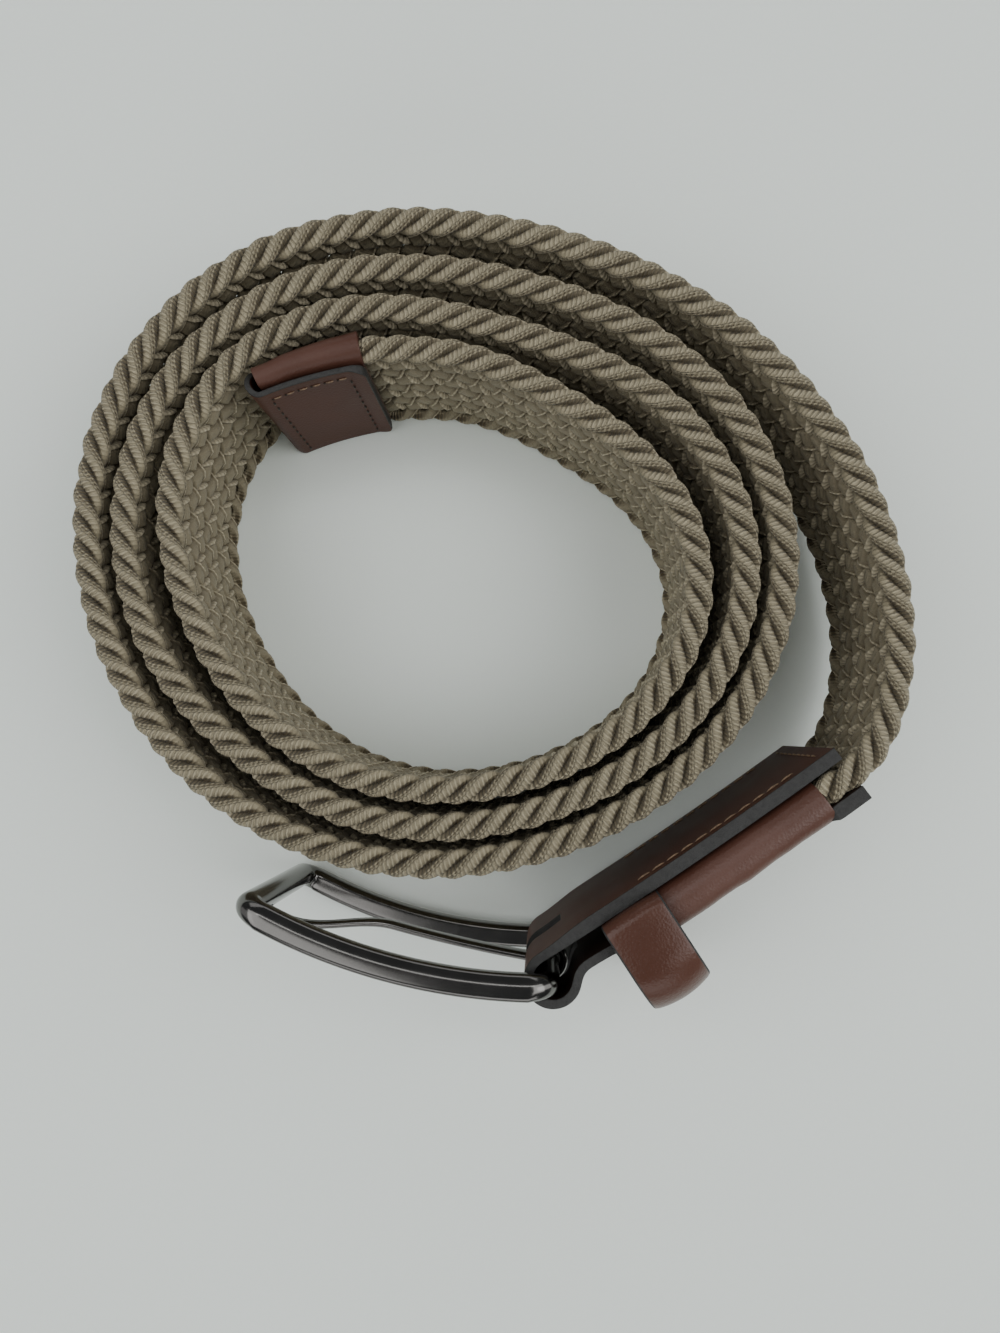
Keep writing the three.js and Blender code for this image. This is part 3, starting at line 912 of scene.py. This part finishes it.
def tip_beside(distance, offset=0.0):
    """Point beside the free end, its curve drawn partly to a straight line by the stiff leather:
    the route's point and direction, and the line's, weighed by the stiffness."""
    distance = np.asarray(distance, float)
    share = (distance / CAP_LENGTH)[..., None]
    straight = beside(0.0) + (beside(float(CAP_LENGTH)) - beside(0.0)) * share
    line = (1 - TIP_STIFFNESS) * beside(distance) + TIP_STIFFNESS * straight
    chord = beside(float(CAP_LENGTH)) - beside(0.0)
    along = (1 - TIP_STIFFNESS) * direction_at(distance) + TIP_STIFFNESS * chord / CAP_LENGTH
    along = along / np.linalg.norm(along, axis=-1, keepdims=True)
    out = np.stack([-along[..., 1], along[..., 0]], -1)
    return line + np.asarray(offset, float)[..., None] * out


def slab_outline(half, height, inset, count=28):
    """Upright outlines with round upper and lower ends: two half circles, inset by a wall."""
    angle = np.linspace(0, np.pi, count)
    radius = half - inset
    straight = height / 2 - half
    across = np.concatenate([radius * np.cos(angle), -radius * np.cos(angle)], -1)
    up = np.concatenate([straight + radius * np.sin(angle), -straight - radius * np.sin(angle)], -1)
    return across, up


def patch_face(distance, sign):
    """Plan point just off the folded strip: its outer leg for a sign of one, else its inner leg."""
    return tip_beside(distance, sign * (cap_half(distance) + SEAT_GAP + PATCH_THICKNESS + 0.02))


class BELT_OT_tip(bpy.types.Operator):
    """Makes the leather cap on the free end and the stitched strip folded round it"""

    bl_idname = "belt.tip"
    bl_label = "Leather tip"

    def execute(self, context):
        leather = context.scene.belt_leather
        face, paint = leather_finishes(context)
        distance = np.linspace(0, CAP_LENGTH, 40)
        rng = np.random.default_rng(3)
        crease = np.interp(distance, np.linspace(0, CAP_LENGTH, 8), rng.normal(0, 0.06, 8))

        def wall(inset):
            at = distance[:, None]
            across, up = slab_outline(cap_half(at), BAND_HEIGHT, inset)
            if not inset:
                near_end = np.clip(np.abs(up) / (BAND_HEIGHT / 2) * 8 - 6.4, 0, 1)
                across = across + near_end * (0.45 + crease[:, None]) + near_end * (across > 0) * 0.6
                up = up + 0.25 * np.sign(up) * near_end
            level = np.maximum(BAND_HEIGHT / 2 + up, 0)
            return np.concatenate([tip_beside(at + 0 * across, across), level[..., None]], -1)

        rolled = leather_finish(leather, "Rolled leather", 0.42, 1.0, 0.32)
        cap = add_shell("tip_roll", wall, SLEEVE_WALL, rolled)
        bevel(cap, 0.25, 3)
        settle(cap, "belt", "leather", "tip_sleeve")

        legs = np.linspace(0, CAP_LENGTH, 40)
        offset = cap_half(legs) + SEAT_GAP + PATCH_THICKNESS / 2
        fold = np.linspace(0, np.pi, 25)[1:-1, None]
        start, along = tip_beside(0.0), tip_beside(0.1) - tip_beside(0.0)
        along /= np.linalg.norm(along)
        outward = np.array([-along[1], along[0]])
        bend = start - outward * offset[0] * np.cos(fold)
        bend = bend - along * (PATCH_REACH + PATCH_THICKNESS / 2) * np.sin(fold)
        spread = LEG_SPREAD * smoothstep(legs, CAP_LENGTH - 3.4, CAP_LENGTH)
        middle = np.concatenate([tip_beside(legs, -offset - spread)[::-1], bend, tip_beside(legs, offset)])
        thickness = np.full(len(middle), float(PATCH_THICKNESS))
        flare = LEG_FLARE * (1 - smoothstep(np.arange(len(middle)), 0, 7))
        thickness += flare
        drop = OUTER_LEG_DROP * smoothstep(np.arange(len(middle)), len(legs) + 8, len(legs) + 26)
        side, other = strip_grid(
            middle, thickness, STRIP_INSET, BAND_HEIGHT - 2 * STRIP_INSET, rows=36, corner=2.6, drop=drop,
        )
        strip = add_plate("tip_strip", side, other, [face, paint])
        bevel(strip, 0.2, 3, 1)
        settle(strip, "belt", "leather", "tip_patch")

        light = thread_finish(leather, "Light thread", 1.0)
        threads = [light, thread_finish(leather, "Shaded thread", 0.1)]
        rows = []
        for sign in (-1, 1):
            run = np.linspace(0.9, CAP_LENGTH - 3.2, 30)
            level = np.full(30, BAND_HEIGHT - 3.1 if sign < 0 else BAND_HEIGHT - 6.0)
            out = sign * across_at(run)
            starts, ends, lift = dashes(patch_face(run, sign), level, out, 6, 0.62)
            rows.append((starts, ends, lift, 0.14, 0))
            rows.append((starts - 0.25 * (ends - starts), starts, lift, 0.2, 1))
            for at in (0.9, CAP_LENGTH - 3.2):
                heights = np.linspace(level[0] - 0.6, 1.6, 30)
                fixed = np.full(30, at)
                found = dashes(patch_face(fixed, sign), heights, sign * across_at(fixed), 11, 0.5)
                rows.append((*found, 0.2, 1))
        stitches = add_stitches("tip_stitches", rows, threads)
        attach(stitches, "belt")
        return {"FINISHED"}


# columns: drop from the top in mm, outward offset in mm, of the tab roll's puffed outer flank
ROLL_FLANK = np.array([
    (0.0, 1.2),
    (0.15, 2.3),
    (0.5, 3.3),
    (1.1, 4.0),
    (2.0, 4.45),
    (3.2, 4.7),
    (4.4, 4.55),
    (5.2, 4.75),
    (7.0, 5.1),
    (9.0, 5.0),
    (11.0, 4.7),
    (12.2, 4.4),
    (12.8, 2.5),
])
# How far the roll's inner wall stands inside the band's faces
ROLL_PINCH = 0.45
# Millimetres by which the outer leg is drawn in under the roll, and thickens beyond it
TAB_LEG_DROP = 1.9
TAB_LEG_SWELL = 0.9


def roll_outline(count=90):
    """Upright outline of the tab's leather roll: flat against the inner leg, round on top, and puffed
    over the outer leg by the flank table, the same at its foot."""
    half = BAND_HEIGHT / 2
    drop, outward = ROLL_FLANK.T
    angle = np.linspace(np.pi, np.pi / 2, 12)[:-1]
    round_across = 1.2 + 3.7 * np.cos(angle)
    round_up = half - 3.0 + 3.0 * np.sin(angle)
    across = np.concatenate([round_across, outward])
    up = np.concatenate([round_up, half - drop])
    across = np.concatenate([across, across[::-1]])
    up = np.concatenate([up, -up[::-1]])
    closed = np.column_stack([np.append(across, across[0]), np.append(up, up[0])])
    run = arc_lengths(closed)
    even = np.linspace(0, run[-1], count, endpoint=False)
    return [np.interp(even, run, column) for column in closed.T]


def tab_middle():
    """The tab strip's middle line in plan and its thickness: along the coil side, round the hinge bar,
    through a pinch and back along the outer side."""
    inner = np.linspace(MOUTH, LOOP_DISTANCE, 60)
    inner_thickness = INNER_LEG_THICKNESS + (OUTER_LEG_THICKNESS - INNER_LEG_THICKNESS) * smoothstep(
        inner, LOOP_DISTANCE - INNER_LEG_EASE, LOOP_DISTANCE,
    )
    start = TAB_END_HEADING - np.pi / 2
    leave = start + LOOP_WRAP
    loop = LOOP_CENTRE + LOOP_RADIUS * heading(np.linspace(start, leave, 48)[1:])
    back = heading(TAB_END_HEADING + np.pi)
    pinch = HINGE + PINCH_DISTANCE * back + PINCH_OFFSET * heading(TAB_END_HEADING + np.pi / 2)
    share = np.linspace(0, 1, 24)[1:]
    waist = bezier(loop[-1], loop[-1] + heading(leave + np.pi / 2) * LOOP_RADIUS / 2,
                   pinch - back * LOOP_RADIUS / 2, pinch, share)
    leg_offset = LEG_FACE + OUTER_LEG_THICKNESS / 2
    grip = beside(SLEEVE_END, leg_offset)
    reach = np.linalg.norm(pinch - grip)
    widening = bezier(pinch, pinch + back * PINCH_HOLD * reach,
                      grip + direction_at(SLEEVE_END) * (1 - PINCH_HOLD) * reach, grip, share)
    outer = np.linspace(SLEEVE_END, MOUTH, 50)[1:]
    middle = np.concatenate([
        beside(inner, -LEG_FACE - inner_thickness / 2), loop, waist, widening, beside(outer, leg_offset),
    ])
    thickness = np.full(len(middle), float(OUTER_LEG_THICKNESS))
    thickness[:len(inner)] = inner_thickness
    return middle, thickness, len(inner)


class BELT_OT_tab(bpy.types.Operator):
    """Makes the leather tab: the roll over the band, the strip round the hinge bar and its stitches"""

    bl_idname = "belt.tab"
    bl_label = "Leather tab"

    def execute(self, context):
        leather = context.scene.belt_leather
        face, paint = leather_finishes(context)
        across, up = roll_outline()
        distance = np.linspace(SLEEVE_MOUTH, SLEEVE_END, 70)
        rng = np.random.default_rng(7)
        knots = np.linspace(SLEEVE_MOUTH - 1, SLEEVE_END + 1, 14)
        crease = np.interp(distance, knots, rng.normal(0, 0.12, len(knots)))
        sunk = 0.5 * np.exp(-(((BAND_HEIGHT / 2 - np.abs(up)) - 4.2) / 0.55) ** 2)
        puff = np.clip(across / 5, 0, 1)
        inner = BAND_THICKNESS / 2 - ROLL_PINCH

        def wall(inset):
            wide = across + puff * crease[:, None] - np.where(across > 3, sunk, 0)
            wide = wide - np.clip(wide, -inset, inset)
            if inset:
                wide = np.clip(wide, -inner, inner)
            level = TAB_LIFT + BAND_HEIGHT / 2 + up * (1 - inset / (BAND_HEIGHT / 2)) + 0 * wide
            return np.concatenate([beside(distance[:, None] + 0 * wide, wide), level[..., None]], -1)

        # Painted light: the roll's leather is painted lighter than the tab's other leather, for the light
        # falling on its top
        puffed = leather_finish(leather, "Puffed leather", 0.38, 1.18, 0.5)
        roll = add_shell("tab_roll", wall, SLEEVE_WALL, puffed)
        bevel(roll, 0.25, 3)
        settle(roll, "belt", "leather", "tab_sleeve")

        middle, thickness, inner_count = tab_middle()
        foot = TAB_LIFT + STRIP_INSET
        height = BAND_HEIGHT - 2 * STRIP_INSET
        under_roll = np.zeros(len(middle))
        outer = np.linspace(SLEEVE_END, MOUTH, 50)[1:]
        under_roll[-len(outer):] = smoothstep(outer, SLEEVE_MOUTH + 0.2, SLEEVE_MOUTH + 1.4)
        beyond = 1 - smoothstep(outer, SLEEVE_MOUTH - 0.4, SLEEVE_MOUTH + 1.4)
        thickness[-len(outer):] += TAB_LEG_SWELL * beyond
        side, other = strip_grid(middle, thickness, foot, height, rows=61, drop=TAB_LEG_DROP * under_roll)
        back = (HINGE - middle) @ heading(TAB_END_HEADING)
        near = np.abs(back) < SLOT_HALF_LENGTH
        z = side[0, :, 2]
        in_slot = np.abs(z - FRAME_HEIGHT / 2) < SLOT_HALF_HEIGHT
        cell_near = near[:-1] & near[1:]
        cell_slot = in_slot[:-1] & in_slot[1:]
        # Painted shade: the strip's inner side, against the band and round the hinge bar, is leather
        # darkened to a quarter for the shadow there
        painted_shade_skin = leather_finish(leather, "Dark lining", 0.6, 0.25)
        strip = add_plate("tab_strip_leather", side, other, [face, paint, painted_shade_skin],
                          keep=~(cell_near[:, None] & cell_slot[None]), painted_shade_skin=2)
        bevel(strip, 0.22, 3, 1)
        settle(strip, "belt", "leather", "tab_strip")

        threads = [thread_finish(leather, "Tab thread", 0.9)]
        rows = []
        run = np.linspace(MOUTH + 7.0, SLEEVE_END + 1, 60)
        surface = beside(run, -LEG_FACE - INNER_LEG_THICKNESS - 0.02)
        for level in (BAND_HEIGHT - 3.2, 3.2):
            found = dashes(surface, np.full(60, TAB_LIFT + level), -across_at(run), 11, 0.86)
            rows.append((*found, 0.18, 0))
        end = np.full(30, MOUTH + 2.6)
        upright = beside(end, -LEG_FACE - INNER_LEG_THICKNESS - 0.02)
        heights = TAB_LIFT + np.linspace(BAND_HEIGHT - 3.4, 3.4, 30)
        rows.append((*dashes(upright, heights, -across_at(end), 9, 0.8), 0.18, 0))
        stitches = add_stitches("tab_stitches", rows, threads)
        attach(stitches, "belt")
        return {"FINISHED"}


def keeper_line(inset, steps=14):
    """Closed outline of the keeper across the tab: outward offset and height, with wide round corners on
    its outer side and small ones against the tab."""
    low = TAB_LIFT - KEEPER_CLEARANCE - KEEPER_WALL + inset
    high = TAB_LIFT + BAND_HEIGHT + KEEPER_CLEARANCE + KEEPER_WALL - inset
    inner = -LEG_FACE + SEAT_GAP + inset
    outer = -LEG_FACE + KEEPER_REACH + KEEPER_SLACK - inset
    wide, small = KEEPER_WIDE_CORNER - inset, KEEPER_SMALL_CORNER - inset
    quarter = np.linspace(0, np.pi / 2, steps)
    corners = (
        (outer - wide, low + wide, wide, -np.pi / 2),
        (outer - wide, high - wide, wide, 0),
        (inner + small, high - small, small, np.pi / 2),
        (inner + small, low + small, small, np.pi),
    )
    arcs = [np.column_stack([x + r * np.cos(start + quarter), z + r * np.sin(start + quarter)])
            for x, z, r, start in corners]
    return np.concatenate(arcs)


class BELT_OT_keeper(bpy.types.Operator):
    """Makes the leather keeper that holds the free end"""

    bl_idname = "belt.keeper"
    bl_label = "Keeper"

    def execute(self, context):
        leather = context.scene.belt_leather
        _, paint = leather_finishes(context)
        face = leather_finish(leather, "Glossy keeper leather", 0.26, 1.02, 0.34)
        near = SLEEVE_END - KEEPER_LAP
        width = KEEPER_WIDTH + KEEPER_SLEEVE_GAP + KEEPER_LAP
        along = direction_at(near + width / 2)
        outward = across_at(near + width / 2)
        seat = beside(near)
        share = np.linspace(0, 1, 15)
        bow = np.sin(np.pi * share) ** 0.7
        sides = []
        for inset in (0.0, KEEPER_WALL):
            line = keeper_line(inset)
            middle = line.mean(0)
            away = (line - middle) / np.abs(line - middle).max(0)
            swell = away * (0.35 + 0.55 * np.clip(away[:, :1], 0, 1))
            grown = line[:, None] + swell[:, None] * bow[:, None]
            plan = seat + grown[..., :1] * outward + (share[:, None] * width) * along
            sides.append(np.concatenate([plan, grown[..., 1:]], -1))
        piece = add_plate("keeper_band", *sides, [face, paint], wrap=True)
        bevel(piece, 0.3, 3, 1)
        settle(piece, "belt", "leather", "keeper")
        return {"FINISHED"}


# Buckle


ARCH_RADIUS = (FRAME_LENGTH**2 / 4 + FRAME_ARCH**2) / (2 * FRAME_ARCH)
ARCH_HALF_ANGLE = np.arcsin(FRAME_LENGTH / 2 / ARCH_RADIUS)


def bent_by_arch(length, outward):
    """Plan point on the buckle's arch: its length becomes an angle about the arch's centre, and the
    offset adds to the radius."""
    angle = ARCH_HALF_ANGLE * (2 * length / FRAME_LENGTH - 1)
    reach = ARCH_RADIUS + outward
    along = FRAME_LENGTH / 2 + reach * np.sin(angle)
    return np.stack([along, reach * np.cos(angle) - (ARCH_RADIUS - FRAME_ARCH)], -1)


def place_buckle(points):
    """Turns the buckle's own lengths and offsets to its resting direction and moves them to the hinge."""
    angle = TAB_END_HEADING + FRAME_SWING
    turn = np.array([[np.cos(angle), np.sin(angle)], [-np.sin(angle), np.cos(angle)]])
    return np.concatenate([points[..., :2] @ turn + HINGE, points[..., 2:]], -1)


# columns: direction away from the ring's middle and outward of each flat of a bar, and its distance
BAR_FLATS = np.array([
    (1.0, 0.0, 1.0),
    (-1.0, 0.0, 1.0),
    (0.0, 1.0, 1.0),
    (0.0, -1.0, 1.0),
    (0.866, -0.5, 0.966),
    (0.707, 0.707, 1.24),
    (-0.707, 0.707, 1.24),
    (-0.707, -0.707, 1.16),
])


def bar_section(count, hardness=16):
    """Outline whose reach in a direction is the sum, over the flats facing it, of the cosine to the
    flat over its distance, raised to the hardness, all to minus one over the hardness."""
    way = heading(np.linspace(0, 2 * np.pi, count, endpoint=False))
    facing = np.clip(way @ BAR_FLATS[:, :2].T, 0, None) / BAR_FLATS[:, 2]
    return way * ((facing**hardness).sum(1) ** (-1 / hardness))[:, None]


def gunmetal_finish(buckle):
    """Polished dark plating: a mirror-like metal with faint wipe marks in its roughness."""
    s = Shading("Polished gunmetal")
    place = s.object_place()
    wipes = s.noise(place, 260, 3)
    speck = s.noise(place, 2500, 2)
    return s.principled(
        Base_Color=s.mix(tuple(c * 0.8 for c in buckle.colour), buckle.colour, wipes),
        Metallic=1.0,
        Roughness=0.1 + 0.07 * wipes + 0.04 * speck,
        Normal=s.bump(speck, 0.000004, 0.5),
    )


def rounded_rectangle_path(count_side=40, corner=3.0, steps=10):
    """Stations round the frame: length, height and facing angle, with quarter circles at the corners."""
    low, high = BAR_HEIGHT / 2, FRAME_HEIGHT - BAR_HEIGHT / 2
    side = np.linspace(corner, FRAME_LENGTH - corner, count_side)
    upright = np.linspace(low + corner, high - corner, 16)
    quarter = np.linspace(0, np.pi / 2, steps)[1:-1]

    def arc(x, z, start):
        angle = start + quarter
        return np.column_stack([x + corner * np.cos(angle), z + corner * np.sin(angle), angle])

    def line(x, z, facing):
        return np.column_stack([x + 0 * z, z + 0 * x, np.full(np.size(x + z), facing)])

    return np.concatenate([
        line(side, np.full(count_side, low), -np.pi / 2),
        arc(FRAME_LENGTH - corner, low + corner, -np.pi / 2),
        line(np.full(16, FRAME_LENGTH), upright, 0.0),
        arc(FRAME_LENGTH - corner, high - corner, 0.0),
        line(side[::-1], np.full(count_side, high), np.pi / 2),
        arc(corner, high - corner, np.pi / 2),
        line(np.zeros(16), upright[::-1], np.pi),
        arc(corner, low + corner, np.pi),
    ])


class BELT_OT_buckle(bpy.types.Operator):
    """Makes the buckle's arched frame and its prong"""

    bl_idname = "belt.buckle"
    bl_label = "Buckle"

    def execute(self, context):
        metal = gunmetal_finish(context.scene.belt_buckle)
        x, z, facing = rounded_rectangle_path().T[:, :, None]
        toward_end = np.maximum(0, np.cos(facing))
        toward_hinge = np.maximum(0, -np.cos(facing))
        along_bar = 1 - toward_end - toward_hinge
        high = along_bar * BAR_HEIGHT / 2 + toward_end * END_BAR_RADIUS + toward_hinge * HINGE_BAR_RADIUS
        deep = along_bar * BAR_THICKNESS / 2 + toward_end * END_BAR_RADIUS + toward_hinge * HINGE_BAR_RADIUS
        square = bar_section(48)
        round_ = superellipse(48, 1, 1, 2)
        blend = np.clip(np.abs(np.cos(facing)), 0, 1) ** 0.5
        across = high * ((1 - blend) * square[:, 0] + blend * round_[:, 0])
        out = deep * ((1 - blend) * square[:, 1] + blend * round_[:, 1])
        plan = bent_by_arch(x + across * np.cos(facing), out)
        ring = np.concatenate([plan, (z + across * np.sin(facing))[..., None]], -1)
        piece = add_tube("buckle_ring", place_buckle(ring), [metal], wrap_rows=True)
        settle(piece, "buckle", "gunmetal", "buckle_frame")

        eye = HINGE_BAR_RADIUS + SEAT_GAP + PRONG_EYE_WALL / 2
        length = np.linspace(eye, FRAME_LENGTH + PRONG_OVERHANG, 90)
        over_end = END_BAR_RADIUS + SEAT_GAP + PRONG_THICKNESS / 2 + PRONG_CLEARANCE
        rise = over_end * smoothstep(
            length, PRONG_RISE_START * FRAME_LENGTH, PRONG_RISE_END * FRAME_LENGTH,
        )
        taper = 1 - 0.35 * smoothstep(length, 0.1 * FRAME_LENGTH, FRAME_LENGTH)
        nose = np.sqrt(1 - (1 - np.clip((length[-1] - length) / 2.2, 0, 1)) ** 2)
        section = superellipse(28, 1, 1, 2.8)
        wide = (PRONG_WIDTH / 2 * taper * (0.25 + 0.75 * nose))[:, None] * section[:, 0]
        slim = PRONG_THICKNESS / 2 * PRONG_SLIMNESS * (1 - 0.12 * (1 - taper))
        thick = (slim * (0.2 + 0.8 * nose))[:, None] * section[:, 1]
        offset = rise[:, None] + thick
        lengths = length[:, None] + 0 * thick
        bent = bent_by_arch(lengths, offset)
        plan = PRONG_ARCH * bent + (1 - PRONG_ARCH) * np.stack([lengths, offset], -1)
        body = np.concatenate([plan, (FRAME_HEIGHT / 2 + wide)[..., None]], -1)
        angle = np.linspace(0, 2 * np.pi, 48, endpoint=False)[:, None]
        section = superellipse(20, PRONG_EYE_WALL / 2, PRONG_WIDTH / 2, 3.2)
        reach = eye + section[:, 0]
        loop = np.stack([
            reach * np.cos(angle), reach * np.sin(angle),
            FRAME_HEIGHT / 2 + section[:, 1] + 0 * angle,
        ], -1)
        flat_a, quads_a, _ = tube_grid(place_buckle(body))
        flat_b, quads_b, _ = tube_grid(place_buckle(loop), wrap_rows=True)
        quads_b = outward_faces(flat_b, quads_b)
        quads_a = outward_faces(flat_a, quads_a)
        piece = add_mesh("prong_bar", np.concatenate([flat_a, flat_b]),
                         np.concatenate([quads_a, quads_b + len(flat_a)]), [metal])
        settle(piece, "tongue", "gunmetal", "prong")
        return {"FINISHED"}


# Stage


# columns: place in metres, width, height, share of the power of a square metre
SOFT_LAMPS = (
    (-0.58, -0.05, 1.0, 0.9, 1.2, 0.96),
    (0.75, 0.0, 1.0, 0.9, 1.2, 1.08),
    (0.06, 0.33, 1.0, 0.6, 0.12, 1.3),
    (0.0, -1.4, 0.8, 1.8, 0.8, 0.75),
    (0.0, 1.5, 0.6, 1.8, 0.7, 0.5),
    (-1.4, 0.0, 0.8, 1.8, 0.8, 0.25),
    (1.4, 0.0, 0.8, 1.8, 0.8, 0.8),
)


class BELT_OT_stage(bpy.types.Operator):
    """Lays the floor and sets the light and the camera"""

    bl_idname = "belt.stage"
    bl_label = "Floor, light and camera"

    def execute(self, context):
        stage = context.scene.belt_stage
        s = Shading("Pale floor")
        fibre = s.noise(s.object_place(), 900, 2)
        tone = s.mix(stage.floor, tuple(min(1, c * 1.03) for c in stage.floor), fibre)
        material = s.principled(Base_Color=tone, Roughness=0.9, Specular_IOR_Level=0.1)
        x, y = np.meshgrid(np.linspace(-1500, 1500, 5), np.linspace(-1500, 1500, 5), indexing="ij")
        points = np.stack([x, y, 0 * x], -1).reshape(-1, 3)
        floor = add_mesh("floor", points, grid_quads(5, 5, False, False), [material])

        world = bpy.data.worlds.new("Soft room")
        context.scene.world = world
        world.use_nodes = True
        background = world.node_tree.nodes["Background"]
        background.inputs["Color"].default_value = (0.93, 0.97, 1.0, 1)
        background.inputs["Strength"].default_value = stage.sky_strength

        for x, y, z, width, height, share in SOFT_LAMPS:
            lamp = bpy.data.lights.new("Soft lamp", "AREA")
            lamp.shape = "RECTANGLE"
            lamp.size = width
            lamp.size_y = height
            lamp.energy = stage.lamp_power * share * width * height
            holder = bpy.data.objects.new("Soft lamp", lamp)
            holder.location = (x, y, z)
            holder.rotation_euler = view_turn(-np.array([x, y, z])).to_euler()
            context.scene.collection.objects.link(holder)

        camera = bpy.data.cameras.new("Photograph view")
        camera.lens = CAMERA_LENS
        camera.sensor_width = 36
        camera.sensor_fit = "AUTO"
        camera.clip_start = 0.005
        viewer = bpy.data.objects.new("Photograph view", camera)
        up = -np.array(CAMERA_DOWN, float) / np.linalg.norm(CAMERA_DOWN)
        right = np.array([1.0, 0, 0]) - up[0] * up
        right /= np.linalg.norm(right)
        viewer.matrix_world = Matrix.Translation(CAMERA_PLACE) @ Matrix(
            np.array([right, np.cross(up, right), up]).tolist()
        ).to_4x4()
        context.scene.collection.objects.link(viewer)
        context.scene.camera = viewer
        return {"FINISHED"}


def view_turn(aim):
    """Turn that points a lamp's own downward axis along aim."""
    back = -aim / np.linalg.norm(aim)
    side = np.cross([0.0, 1, 0.2], back)
    side /= np.linalg.norm(side)
    return Matrix(np.array([side, np.cross(back, side), back]).T.tolist())


# Sidebar


class BELT_PT_build(bpy.types.Panel):
    """Lists the belt's pieces"""

    bl_label = "Braided belt"
    bl_idname = "BELT_PT_build"
    bl_space_type = "VIEW_3D"
    bl_region_type = "UI"
    bl_category = "Belt"

    def draw(self, context):
        for group in ("belt_braid", "belt_leather", "belt_buckle", "belt_stage"):
            settings = getattr(context.scene, group)
            box = self.layout.box()
            for name in settings.__annotations__:
                box.prop(settings, name)
        for operator in OPERATORS:
            self.layout.operator(operator.bl_idname)


SETTINGS = {
    "belt_braid": BraidSettings,
    "belt_leather": LeatherSettings,
    "belt_buckle": BuckleSettings,
    "belt_stage": StageSettings,
}
OPERATORS = (
    BELT_OT_cords,
    BELT_OT_tip,
    BELT_OT_tab,
    BELT_OT_keeper,
    BELT_OT_buckle,
    BELT_OT_stage,
)


def register():
    for kind in (*SETTINGS.values(), *OPERATORS, BELT_PT_build):
        bpy.utils.register_class(kind)
    for name, kind in SETTINGS.items():
        setattr(bpy.types.Scene, name, PointerProperty(type=kind))


def unregister():
    for name in SETTINGS:
        delattr(bpy.types.Scene, name)
    for kind in reversed((*SETTINGS.values(), *OPERATORS, BELT_PT_build)):
        bpy.utils.unregister_class(kind)


def main():
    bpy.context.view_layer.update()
    register()
    bpy.ops.belt.cords()
    bpy.ops.belt.tip()
    bpy.ops.belt.tab()
    bpy.ops.belt.keeper()
    bpy.ops.belt.buckle()
    bpy.ops.belt.stage()


if __name__ == "__main__":
    main()
